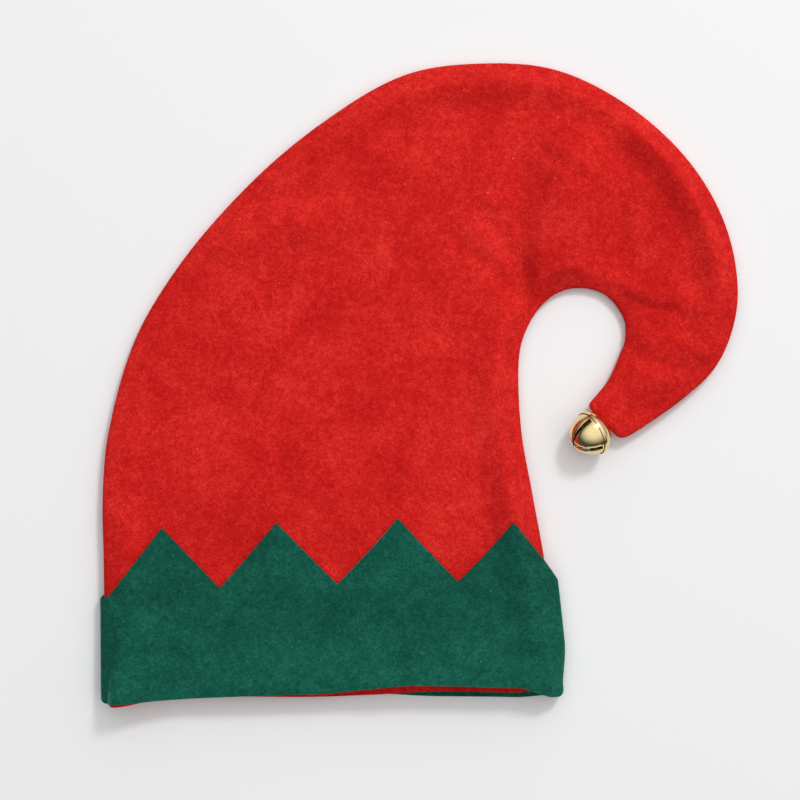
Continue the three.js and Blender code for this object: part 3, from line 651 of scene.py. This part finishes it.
upper_faces = [panel_grid(1, *UPPER_GRID, inset) for inset in (0, CROWN_FELT)]
lower_faces = [panel_grid(-1, *LOWER_GRID, inset) for inset in (0, CROWN_FELT)]
upper_panel = felt_object("crown_upper_felt", *upper_faces, red_felt)
lower_panel = felt_object("crown_lower_felt", *lower_faces, red_felt, facing_up=False)
for panel in (upper_panel, lower_panel):
    print(panel.name, "has", len(panel.data.polygons), "faces")

# %% [markdown]
# ## The green band
#
# The band is a strip of green felt. One long edge is cut to a zigzag by hand, so its points differ a
# little, and the strip goes once round the hem. The scene makes it the same way: a node tree cuts the flat
# strip, and the cut strip is then laid round the crown, a clearance outside it.

# %% Cut the zigzag with a node tree
# Places are in widths of the hem from the outer seam, heights in shares of BAND_HEIGHT
ZIGZAG_CORNERS = [
    (0, 0.575),
    (0.014, 0.578),
    (0.03, 0.61),
    (0.143, 0.965),
    (0.266, 0.62),
    (0.402, 1),
    (0.527, 0.64),
    (0.677, 1.025),
    (0.794, 0.64),
    (0.935, 1),
    (1.01, 0.62),
    (1.14, 1),
    (1.26, 0.62),
    (1.39, 1),
    (1.52, 0.62),
    (1.65, 1),
    (1.77, 0.62),
    (1.88, 1),
    (1.985, 0.61),
    (2, 0.575),
]
LAYERS = 2  # the strip is this many hem widths long
STRIP_ROWS = 64
STRIP_STEP = 0.0075


def zigzag_tree():
    """Geometry nodes that cut one edge of a flat strip, 1 high, to a zigzag of straight flanks."""
    tree = bpy.data.node_groups.new("Zigzag cut", "GeometryNodeTree")
    interface = tree.interface
    interface.new_socket("Geometry", in_out="INPUT", socket_type="NodeSocketGeometry")
    hem = interface.new_socket("Hem width", in_out="INPUT", socket_type="NodeSocketFloat")
    tall = interface.new_socket("Band height", in_out="INPUT", socket_type="NodeSocketFloat")
    interface.new_socket("Geometry", in_out="OUTPUT", socket_type="NodeSocketGeometry")
    into = node(tree, "NodeGroupInput")
    out = node(tree, "NodeGroupOutput")
    split = node(tree, "ShaderNodeSeparateXYZ")
    tree.links.new(node(tree, "GeometryNodeInputPosition").outputs[0], split.inputs[0])

    total = ZIGZAG_CORNERS[0][1]
    for start, end in zip(ZIGZAG_CORNERS, ZIGZAG_CORNERS[1:]):
        flank = ranged(tree, split.outputs["X"], start[0], end[0], 0, end[1] - start[1])
        total = sum_node(tree, "ADD", flank, total)
    share = sum_node(tree, "MULTIPLY", split.outputs["Y"], total)

    join = node(tree, "ShaderNodeCombineXYZ")
    tree.links.new(sum_node(tree, "MULTIPLY", split.outputs["X"], into.outputs["Hem width"]), join.inputs["X"])
    tree.links.new(sum_node(tree, "MULTIPLY", share, into.outputs["Band height"]), join.inputs["Y"])
    move = node(tree, "GeometryNodeSetPosition")
    tree.links.new(into.outputs["Geometry"], move.inputs["Geometry"])
    tree.links.new(join.outputs[0], move.inputs["Position"])
    whole = node(tree, "GeometryNodeRealizeInstances")
    tree.links.new(move.outputs[0], whole.inputs[0])
    cloth = node(tree, "GeometryNodeSetMaterial")
    cloth.inputs["Material"].default_value = green_felt
    tree.links.new(whole.outputs[0], cloth.inputs["Geometry"])
    tree.links.new(cloth.outputs[0], out.inputs[0])
    return tree, {hem.identifier: HEM_WIDTH * MM, tall.identifier: BAND_HEIGHT * MM}


def strip_places():
    """Places round the strip: every corner of the zigzag, both seams' rolls, and even steps between."""
    corners = [corner[0] % LAYERS for corner in ZIGZAG_CORNERS[:-1]]
    bend = (SEAM_BEND + CROWN_FELT + BAND_LAYER) / HEM_WIDTH
    rolls = bend * (1 - np.cos(np.radians(np.linspace(0, CREST, ROLL_STEPS))))
    rolled = np.concatenate([rolls, 1 - rolls, 1 + rolls, LAYERS - rolls])
    fixed = np.unique(np.round(np.concatenate([corners, rolled]) % LAYERS, 5))
    fixed = np.append(fixed, LAYERS)
    steps = [np.linspace(a, b, 1 + math.ceil((b - a) / STRIP_STEP))[:-1] for a, b in zip(fixed, fixed[1:])]
    return np.append(np.concatenate(steps), LAYERS)


def evaluated(obj, name):
    """A plain copy of an object with its modifiers applied."""
    bpy.context.view_layer.update()
    graph = bpy.context.evaluated_depsgraph_get()
    mesh = bpy.data.meshes.new_from_object(obj.evaluated_get(graph))
    mesh.name = name
    made = bpy.data.objects.new(name, mesh)
    scene.collection.objects.link(made)
    return made


places = strip_places()
rises = np.linspace(0, 1, STRIP_ROWS)
flat_points = [(place / MM, rise / MM, 0) for rise in rises for place in places]
columns = len(places)
flat_faces = [
    (row * columns + i, row * columns + i + 1, (row + 1) * columns + i + 1, (row + 1) * columns + i)
    for row in range(STRIP_ROWS - 1)
    for i in range(columns - 1)
]
strip = mesh_object("flat_strip", flat_points, flat_faces)
cut = strip.modifiers.new("Zigzag cut", "NODES")
cut.node_group, values = zigzag_tree()
for identifier, value in values.items():
    cut[identifier] = value
cut_strip = evaluated(strip, "cut_strip")
flat = np.empty(3 * len(cut_strip.data.vertices))
cut_strip.data.vertices.foreach_get("co", flat)
flat = flat.reshape(STRIP_ROWS, columns, 3) / MM
for scrap in (strip, cut_strip):
    bpy.data.objects.remove(scrap)
print("the cut strip is", round(flat[..., 0].max()), "by", round(flat[..., 1].max()), "mm")


# %% Lay the strip round the hem
FLARE_FROM = 0.92  # the place across the hem from which the band's end stands out


def band_grid(inset):
    place = flat[:, :-1, 0] / HEM_WIDTH
    along = flat[:, :-1, 1]
    side = np.where(place <= 1, 1, -1)
    across = np.where(place <= 1, place, LAYERS - place)
    open_width = width_at(along) - 2 * inset
    bend = SEAM_BEND + CROWN_FELT - inset
    from_outer = across * open_width
    climb = turn_in(from_outer / bend) * turn_in((open_width - from_outer) / bend)
    points = layer_points(side, along, from_outer, inset, climb, stand=0)
    points[..., 0] += BAND_FLARE * smooth(along, 0, FLARE_HEIGHT) * smooth(across, FLARE_FROM, 1)
    return placed(points)


band_faces = [band_grid(-away) for away in (BAND_LAYER, BAND_CLEARANCE)]
band = felt_object("zigzag_band_felt", *band_faces, green_felt, wrap=True)
print(band.name, "has", len(band.data.polygons), "faces")

# %% [markdown]
# ## Loose fibres
#
# The surface of felt is covered with short curved hairs. They show as a soft edge against the white table.
# A node tree scatters them: points at random over the face, and on each point a hair that leans over and is
# turned at random.

# %% Fibres
HAIR_LENGTH = 1.6
HAIR_WIDTH = 0.05
HAIR_BEND = ((0, 0, 0.6), (0.45, 0, 1))  # the middle and the end of a hair that is 1 long
HAIR_SHORTEST = 0.4  # as a share of the longest
HAIR_LIE = 0.9  # how far the hairs lean over, at most, as a share of a right angle
HAIR_FLOOR = 0.05  # the table presses the hairs under the hat up to this height


def hair_tree(material, seed):
    tree = bpy.data.node_groups.new("Loose fibres", "GeometryNodeTree")
    interface = tree.interface
    interface.new_socket("Geometry", in_out="INPUT", socket_type="NodeSocketGeometry")
    sockets = {
        name: interface.new_socket(name, in_out="INPUT", socket_type=kind)
        for name, kind in (
            ("Density", "NodeSocketFloat"),
            ("Length", "NodeSocketFloat"),
            ("Width", "NodeSocketFloat"),
        )
    }
    interface.new_socket("Geometry", in_out="OUTPUT", socket_type="NodeSocketGeometry")
    into = node(tree, "NodeGroupInput")
    out = node(tree, "NodeGroupOutput")

    points = node(tree, "GeometryNodeDistributePointsOnFaces", Seed=seed)
    tree.links.new(into.outputs["Geometry"], points.inputs["Mesh"])
    tree.links.new(into.outputs["Density"], points.inputs["Density"])

    hair = node(tree, "GeometryNodeCurveQuadraticBezier", Resolution=2)
    hair.inputs["Start"].default_value = (0, 0, 0)
    hair.inputs["Middle"].default_value, hair.inputs["End"].default_value = HAIR_BEND
    section = node(tree, "GeometryNodeCurvePrimitiveLine")
    section.inputs["Start"].default_value = (-0.5, 0, 0)
    section.inputs["End"].default_value = (0.5, 0, 0)
    sized = node(tree, "GeometryNodeTransform")
    tree.links.new(section.outputs[0], sized.inputs["Geometry"])
    slimness = sum_node(tree, "DIVIDE", into.outputs["Width"], into.outputs["Length"])
    tree.links.new(slimness, sized.inputs["Scale"])
    ribbon = node(tree, "GeometryNodeCurveToMesh")
    tree.links.new(hair.outputs[0], ribbon.inputs["Curve"])
    tree.links.new(sized.outputs[0], ribbon.inputs["Profile Curve"])

    def random(kind, low_value, high_value, own_seed):
        made = node(tree, "FunctionNodeRandomValue", data_type=kind)
        made.inputs["Seed"].default_value = own_seed
        pair = 0 if kind == "FLOAT_VECTOR" else 2
        made.inputs[pair].default_value = low_value
        made.inputs[pair + 1].default_value = high_value
        return made.outputs[0 if kind == "FLOAT_VECTOR" else 1]

    lean = math.radians(90) * HAIR_LIE
    spin = random("FLOAT_VECTOR", (-lean, -lean, 0), (lean, lean, 2 * math.pi), seed + 1)
    turned = node(tree, "FunctionNodeRotateRotation", rotation_space="LOCAL")
    tree.links.new(points.outputs["Rotation"], turned.inputs["Rotation"])
    as_rotation = node(tree, "FunctionNodeEulerToRotation")
    tree.links.new(spin, as_rotation.inputs[0])
    tree.links.new(as_rotation.outputs[0], turned.inputs["Rotate By"])
    sizes = sum_node(tree, "MULTIPLY", random("FLOAT", HAIR_SHORTEST, 1.0, seed + 2), into.outputs["Length"])

    place = node(tree, "GeometryNodeInstanceOnPoints")
    tree.links.new(points.outputs["Points"], place.inputs["Points"])
    tree.links.new(ribbon.outputs[0], place.inputs["Instance"])
    tree.links.new(turned.outputs[0], place.inputs["Rotation"])
    tree.links.new(sizes, place.inputs["Scale"])
    whole = node(tree, "GeometryNodeRealizeInstances")
    tree.links.new(place.outputs[0], whole.inputs[0])

    split = node(tree, "ShaderNodeSeparateXYZ")
    tree.links.new(node(tree, "GeometryNodeInputPosition").outputs[0], split.inputs[0])
    above = sum_node(tree, "MAXIMUM", split.outputs["Z"], HAIR_FLOOR * MM)
    join = node(tree, "ShaderNodeCombineXYZ")
    tree.links.new(split.outputs["X"], join.inputs["X"])
    tree.links.new(split.outputs["Y"], join.inputs["Y"])
    tree.links.new(above, join.inputs["Z"])
    pressed = node(tree, "GeometryNodeSetPosition")
    tree.links.new(whole.outputs[0], pressed.inputs["Geometry"])
    tree.links.new(join.outputs[0], pressed.inputs["Position"])

    cloth = node(tree, "GeometryNodeSetMaterial")
    cloth.inputs["Material"].default_value = material
    tree.links.new(pressed.outputs[0], cloth.inputs["Geometry"])
    tree.links.new(cloth.outputs[0], out.inputs[0])
    return tree, {name: socket.identifier for name, socket in sockets.items()}


def add_hairs(obj, name, density, seed):
    """Loose fibres over an object, as an object of their own."""
    modifier = obj.modifiers.new("Loose fibres", "NODES")
    modifier.node_group, sockets = hair_tree(obj.data.materials[0], seed)
    modifier[sockets["Density"]] = float(density)
    modifier[sockets["Length"]] = HAIR_LENGTH * MM
    modifier[sockets["Width"]] = HAIR_WIDTH * MM
    hairs = evaluated(obj, name)
    obj.modifiers.remove(modifier)
    print(name, "has", len(hairs.data.polygons), "faces")
    return hairs


upper_hairs = add_hairs(upper_panel, "upper_fibres", density=210000, seed=11)
lower_hairs = add_hairs(lower_panel, "lower_fibres", density=60000, seed=23)
band_hairs = add_hairs(band, "band_fibres", density=220000, seed=37)

# %% [markdown]
# ## The bell
#
# A jingle bell of this size is pressed from thin brass-plated sheet in two halves. The lower one is slit
# crosswise, and its four petals are bent in to a ball. The upper one is rolled over the rim of the lower,
# which leaves a raised lip round the middle. A bent wire goes through the top, and a loose steel pellet
# rattles inside. The bell is worked out about its own middle, with the loop up, and then put in its place.

# %% Sizes of the bell in millimetres
# The photo shows the bell a little wider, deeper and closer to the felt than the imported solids, and turned
# further about its axis. So its diameter, cap, lower half, slits, loop and place are the scene's own.
BELL_DIAMETER = 29
BELL_SHEET = 0.5
BELL_CLEARANCE = 0.3
LIP_DEPTH = 1.6
LIP_SHOULDER = 0.9
CAP_ROUND = 0.67
LOWER_DEPTH = 1.16  # depth of the lower half as a share of a half ball
SLIT_STOP = 2.4
SLIT_TURN = 52
SLIT_WIDE = 3.0  # width of a slit at its closed end
SLIT_NARROW = 1.3  # and at the pole, where the petals were bent together
PETAL_CORNER = 1.5  # radius of the petals' points
TIP_FLAT = 0.12  # how much is cut off each point, so that its row of mesh points keeps some width
WIRE = 1.2
LOOP_WIDTH = 4.8
LOOP_REACH = 4.2
LOOP_FALL = 1.4  # how far the loop is bent down to the seam that holds it
FOOT_REACH = 2.8
FOOT_FALL = 1.2
PELLET_DIAMETER = 8
PELLET_CLEARANCE = 0.45
PELLET_ROLL = 3.4
BELL_HEADING = 207
BELL_TILT = 21
BELL_OUT = 9.1
BELL_SHIFT = 1.0
SHELL_RADIUS = BELL_DIAMETER / 2 - BELL_SHEET - BELL_CLEARANCE
SHELL_INSIDE = SHELL_RADIUS - BELL_SHEET
CAP_TOP = SHELL_RADIUS * CAP_ROUND

tilt = math.radians(BELL_TILT)
end_turn = float(turn_at(CROWN_LENGTH))
out_of_end = Vector((-math.sin(end_turn), math.cos(end_turn), 0))
bell_middle = Vector((float(middle_x(CROWN_LENGTH)) + ORIGIN_X, float(middle_y(CROWN_LENGTH)) + ORIGIN_Y, 0))
bell_middle += out_of_end * BELL_OUT
bell_middle += Vector((math.cos(end_turn), math.sin(end_turn), 0)) * BELL_SHIFT
bell_middle.z = BELL_DIAMETER / 2 * math.cos(tilt) + LIP_SHOULDER * math.sin(tilt)
bell_turn = Matrix.Rotation(math.radians(BELL_HEADING + 180), 3, "Z") @ Matrix.Rotation(
    math.radians(90 + BELL_TILT), 3, "Y"
)
print("the bell's middle lies at", [round(value, 1) for value in bell_middle])


def on_bell(points):
    """Points of the bell's own frame, put where the bell lies."""
    return np.asarray(points) @ np.array(bell_turn).T + np.array(bell_middle)


# %% [markdown]
# The plating is bright but not a mirror: it is a little uneven, and rubbed duller in patches where it was
# handled.

# %% Brass and steel
RUBBED = (0.42, 0.72)  # values of the patches' noise that are as good as new and fully rubbed
RUBBED_DULLER = 2.4
DENT_DEPTH = 0.4 * MM


def plated(name, base, worn, roughness, patch_scale, waviness):
    """A plated metal with cloudy patches that are duller, and a faint unevenness of the sheet."""
    material, shader = new_material(name, roughness, 1.0)
    tree = material.node_tree
    place = node(tree, "ShaderNodeTexCoord").outputs["Object"]
    patches = node(tree, "ShaderNodeTexNoise", Scale=patch_scale, Detail=5, Roughness=0.65, Distortion=0.6)
    tree.links.new(place, patches.inputs["Vector"])
    rubbed = ranged(tree, patches.outputs["Fac"], *RUBBED, roughness, RUBBED_DULLER * roughness)
    tree.links.new(rubbed, shader.inputs["Roughness"])
    tint = node(tree, "ShaderNodeMix", data_type="RGBA")
    tree.links.new(patches.outputs["Fac"], tint.inputs["Factor"])
    tint.inputs["A"].default_value = (*base, 1)
    tint.inputs["B"].default_value = (*worn, 1)
    tree.links.new(tint.outputs["Result"], shader.inputs["Base Color"])
    waves = node(tree, "ShaderNodeTexNoise", Scale=patch_scale / 2, Detail=2)
    tree.links.new(place, waves.inputs["Vector"])
    uneven = node(tree, "ShaderNodeBump", Strength=waviness, Distance=DENT_DEPTH)
    tree.links.new(waves.outputs["Fac"], uneven.inputs["Height"])
    tree.links.new(uneven.outputs["Normal"], shader.inputs["Normal"])
    return material


brass = plated("bell_brass", (0.84, 0.7, 0.37), (0.74, 0.57, 0.27), 0.09, 320, 0.25)
steel = plated("pellet_steel", (0.42, 0.41, 0.4), (0.25, 0.24, 0.23), 0.3, 500, 0.3)
print("metals:", brass.name, steel.name)

# %% [markdown]
# The lower half is one sheet: a ring under the lip, and four petals that run from it to the pole. Each row
# of points goes round the bell. Below the ends of the slits, a row of a petal spans what its two slits
# leave of a quarter turn, and near the pole the row follows the rounded point. Its edges are pressed in a
# little.

# %% Lower half of the bell
PETAL_COLUMNS = 22
SLIT_COLUMNS = 6
RING_ROWS = 4
PETAL_ROWS = 30
EDGE_PRESS = 0.3  # how far the petals' edges are pressed in
EDGE_WIDTH = 1.1
BEND_WIDTH = 0.14  # of the rounded edges of the sheet


def slit_half_width(from_pole, stop):
    return (SLIT_NARROW + (SLIT_WIDE - SLIT_NARROW) * smooth(from_pole, 0.25 * stop, stop)) / 2


def petal_half_span(from_pole, stop):
    """Half the angle that a petal spans round the bell, at a distance from the pole along the shell."""
    corner = SLIT_NARROW / 2 + PETAL_CORNER
    ring = SHELL_RADIUS * np.sin(from_pole / SHELL_RADIUS)
    straight = np.pi / 4 - np.arcsin(np.clip(slit_half_width(from_pole, stop) / ring, 0, 0.99))
    middle = corner * math.sqrt(2)
    cosine = (ring**2 + middle**2 - PETAL_CORNER**2) / (2 * ring * middle)
    rounded = np.arccos(np.clip(cosine, -1, 1))
    return np.where(ring < math.hypot(corner, SLIT_NARROW / 2), rounded, straight)


def lower_half():
    stop = SHELL_RADIUS * math.acos(SLIT_STOP / SHELL_RADIUS)
    equator = SHELL_RADIUS * math.pi / 2
    tip = (SLIT_NARROW / 2 + PETAL_CORNER) * math.sqrt(2) - PETAL_CORNER + TIP_FLAT
    rows = np.concatenate([
        np.linspace(equator, stop, RING_ROWS)[:-1],
        stop + (tip - stop) * (1 - (1 - np.linspace(0, 1, PETAL_ROWS)) ** 1.5),
    ])[:, None]
    span = petal_half_span(np.minimum(rows, stop), stop)
    share = np.linspace(-1, 1, PETAL_COLUMNS)[None, :]
    gap = np.pi / 4 - span
    petal = np.pi / 4 + share * span
    slit = np.pi / 2 + np.linspace(-1, 1, SLIT_COLUMNS)[None, 1:-1] * gap
    quarter = np.concatenate([petal, slit], axis=1)
    turns = np.concatenate([quarter + quarters * np.pi / 2 for quarters in range(4)], axis=1)
    to_edge = (1 - np.abs(share)) * span * SHELL_RADIUS * np.sin(rows / SHELL_RADIUS)
    below = np.clip((stop - rows) / EDGE_WIDTH, 0, 1)
    press = EDGE_PRESS * below * np.exp(-((to_edge / EDGE_WIDTH) ** 2))
    press = np.concatenate([press, np.zeros_like(slit)], axis=1)
    radius = SHELL_RADIUS - np.tile(press, 4)
    polar = rows / SHELL_RADIUS
    turns = turns + math.radians(SLIT_TURN)
    points = np.stack(
        [
            radius * np.sin(polar) * np.cos(turns),
            radius * np.sin(polar) * np.sin(turns),
            -radius * np.cos(polar) * LOWER_DEPTH,
        ],
        axis=-1,
    )
    row_count, columns = turns.shape
    index = np.arange(row_count * columns).reshape(row_count, columns)
    faces = []
    for row in range(row_count - 1):
        for column in range(columns):
            in_slit = column % (PETAL_COLUMNS + SLIT_COLUMNS - 2) >= PETAL_COLUMNS - 1
            if row < RING_ROWS - 1 or not in_slit:
                here, below_it = index[row], index[row + 1]
                beside = (column + 1) % columns
                faces.append((here[column], below_it[column], below_it[beside], here[beside]))
    return points.reshape(-1, 3), faces


def sheet_metal(name, points, faces):
    """A thin sheet with thickness inwards and rounded edges, from points on its outside."""
    raw = mesh_object("raw_" + name, on_bell(points), faces, brass)
    thick = raw.modifiers.new("Sheet", "SOLIDIFY")
    thick.thickness = BELL_SHEET * MM
    thick.offset = -1
    soft = raw.modifiers.new("Rounded edges", "BEVEL")
    soft.width = BEND_WIDTH * MM
    soft.segments = 3
    soft.angle_limit = SHARP_ANGLE
    made = evaluated(raw, name)
    bpy.data.objects.remove(raw)
    made.data.shade_smooth()
    return made


petals = sheet_metal("bell_lower_half", *lower_half())
print(petals.name, "has", len(petals.data.polygons), "faces")

# %% [markdown]
# The upper half is turned: a flattened dome, a step out, and the lip, which is rolled to a round edge.

# %% Upper half, pellet and loop
TURNED_SIDES = 128


def turned(name, profile, material):
    """A closed solid about the bell's axis, from (radius, height) points up its outside and down its inside."""
    profile = np.asarray(profile)
    angles = np.linspace(0, 2 * np.pi, TURNED_SIDES, endpoint=False)[:, None]
    ring = np.stack([profile[:, 0] * np.cos(angles), profile[:, 0] * np.sin(angles)], axis=-1)
    points = np.concatenate([ring, np.broadcast_to(profile[:, 1:], (TURNED_SIDES, len(profile), 1))], axis=-1)
    index = np.arange(TURNED_SIDES * len(profile)).reshape(TURNED_SIDES, len(profile))
    beside = np.roll(index, -1, axis=0)
    after = np.roll(index, -1, axis=1)
    faces = np.stack([index, beside, np.roll(beside, -1, axis=1), after], axis=-1)
    made = mesh_object(name, on_bell(points.reshape(-1, 3)), faces.reshape(-1, 4), material)
    made.data.shade_smooth()
    return made


def arc(middle, radii, start, end, steps):
    """Points of a part of an ellipse, from one angle in degrees to another."""
    angles = np.radians(np.linspace(start, end, steps))
    return np.stack([middle[0] + radii[0] * np.cos(angles), middle[1] + radii[1] * np.sin(angles)], axis=1)


TOP = 89.9  # just short of the pole, so that the dome closes on a dot
lip = BELL_DIAMETER / 2
half_sheet = BELL_SHEET / 2
cap_profile = np.concatenate([
    arc((lip - half_sheet, half_sheet - LIP_DEPTH), (half_sheet, half_sheet), -180, 0, 9),
    arc((lip - half_sheet, LIP_SHOULDER - 2 * half_sheet), (half_sheet, half_sheet), 0, 75, 6),
    arc((0, 0), (SHELL_RADIUS, CAP_TOP), 5.5, TOP, 36),
    arc((0, 0), (SHELL_INSIDE, CAP_TOP - BELL_SHEET), TOP, 6, 30),
    arc((lip - 3 * half_sheet, LIP_SHOULDER - 3 * half_sheet), (half_sheet, half_sheet), 75, 0, 4),
])
cap = turned("bell_upper_half", cap_profile, brass)

pellet_radius = PELLET_DIAMETER / 2
pellet = turned("bell_rattle", arc((0, 0), (pellet_radius, pellet_radius), -TOP, TOP, 40), steel)
pellet_fall = math.sqrt((SHELL_INSIDE - PELLET_CLEARANCE - pellet_radius) ** 2 - PELLET_ROLL**2)
rolled = out_of_end * PELLET_ROLL - Vector((0, 0, pellet_fall))
pellet.data.transform(Matrix.Translation(rolled * MM))
print(cap.name, "has", len(cap.data.polygons), "faces")


def wire_piece(name, path, diameter, material):
    """A round wire through points in millimetres, as a plain mesh."""
    curve = bpy.data.curves.new(name + "_path", "CURVE")
    curve.dimensions = "3D"
    curve.bevel_depth = diameter / 2 * MM
    curve.bevel_resolution = 5
    curve.use_fill_caps = True
    line = curve.splines.new("POLY")
    line.points.add(len(path) - 1)
    for point, place in zip(line.points, path):
        point.co = (*(np.asarray(place) * MM), 1)
    raw = bpy.data.objects.new(name + "_path", curve)
    scene.collection.objects.link(raw)
    curve.materials.append(material)
    made = evaluated(raw, name)
    bpy.data.objects.remove(raw)
    made.data.shade_smooth()
    return made


half_loop = LOOP_WIDTH / 2
arch = CAP_TOP + LOOP_REACH - WIRE / 2 - half_loop
knee = CAP_TOP - BELL_SHEET - BELL_CLEARANCE - WIRE
top_of_loop = arc((0, arch), (half_loop, half_loop), 180, 0, 24)
foot = (-half_loop - FOOT_REACH, knee - FOOT_FALL)
left_leg = [foot, (-half_loop - 0.5, knee - 0.2), (-half_loop, knee + 0.4)]
right_leg = [(-across, up) for across, up in reversed(left_leg)]
loop_path = np.array([(0, across, up) for across, up in (*left_leg, *top_of_loop, *right_leg)])
loop_points = on_bell(loop_path)
loop_points[:, 2] -= LOOP_FALL * smooth(loop_path[:, 2], CAP_TOP, CAP_TOP + LOOP_REACH / 2)
loop = wire_piece("bell_wire_loop", loop_points, WIRE, brass)

# %% [markdown]
# ## What each piece is
#
# Every piece rides on the one body of the imported model. The felt pieces take the place of their plain
# solids.

panel_area = float(np.trapz(width_at(flat_along[:, 0]), flat_along[:, 0])) * MM * MM
for piece, cad_name, finish in (
    (cap, "bell_cap", "bell_brass"),
    (petals, "bell_petals", "bell_brass"),
    (loop, "bell_loop", "bell_brass"),
    (pellet, "bell_pellet", "pellet_steel"),
):
    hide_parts(cad_name)
    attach(piece, "root")
pieces = (
    (upper_panel, "crown_upper_panel", "red_felt", upper_hairs),
    (lower_panel, "crown_lower_panel", "red_felt", lower_hairs),
    (band, "zigzag_band", "green_felt", band_hairs),
)
for piece, cad_name, finish, hairs in pieces:
    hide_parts(cad_name)
    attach(piece, "root")
    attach(hairs, "root")
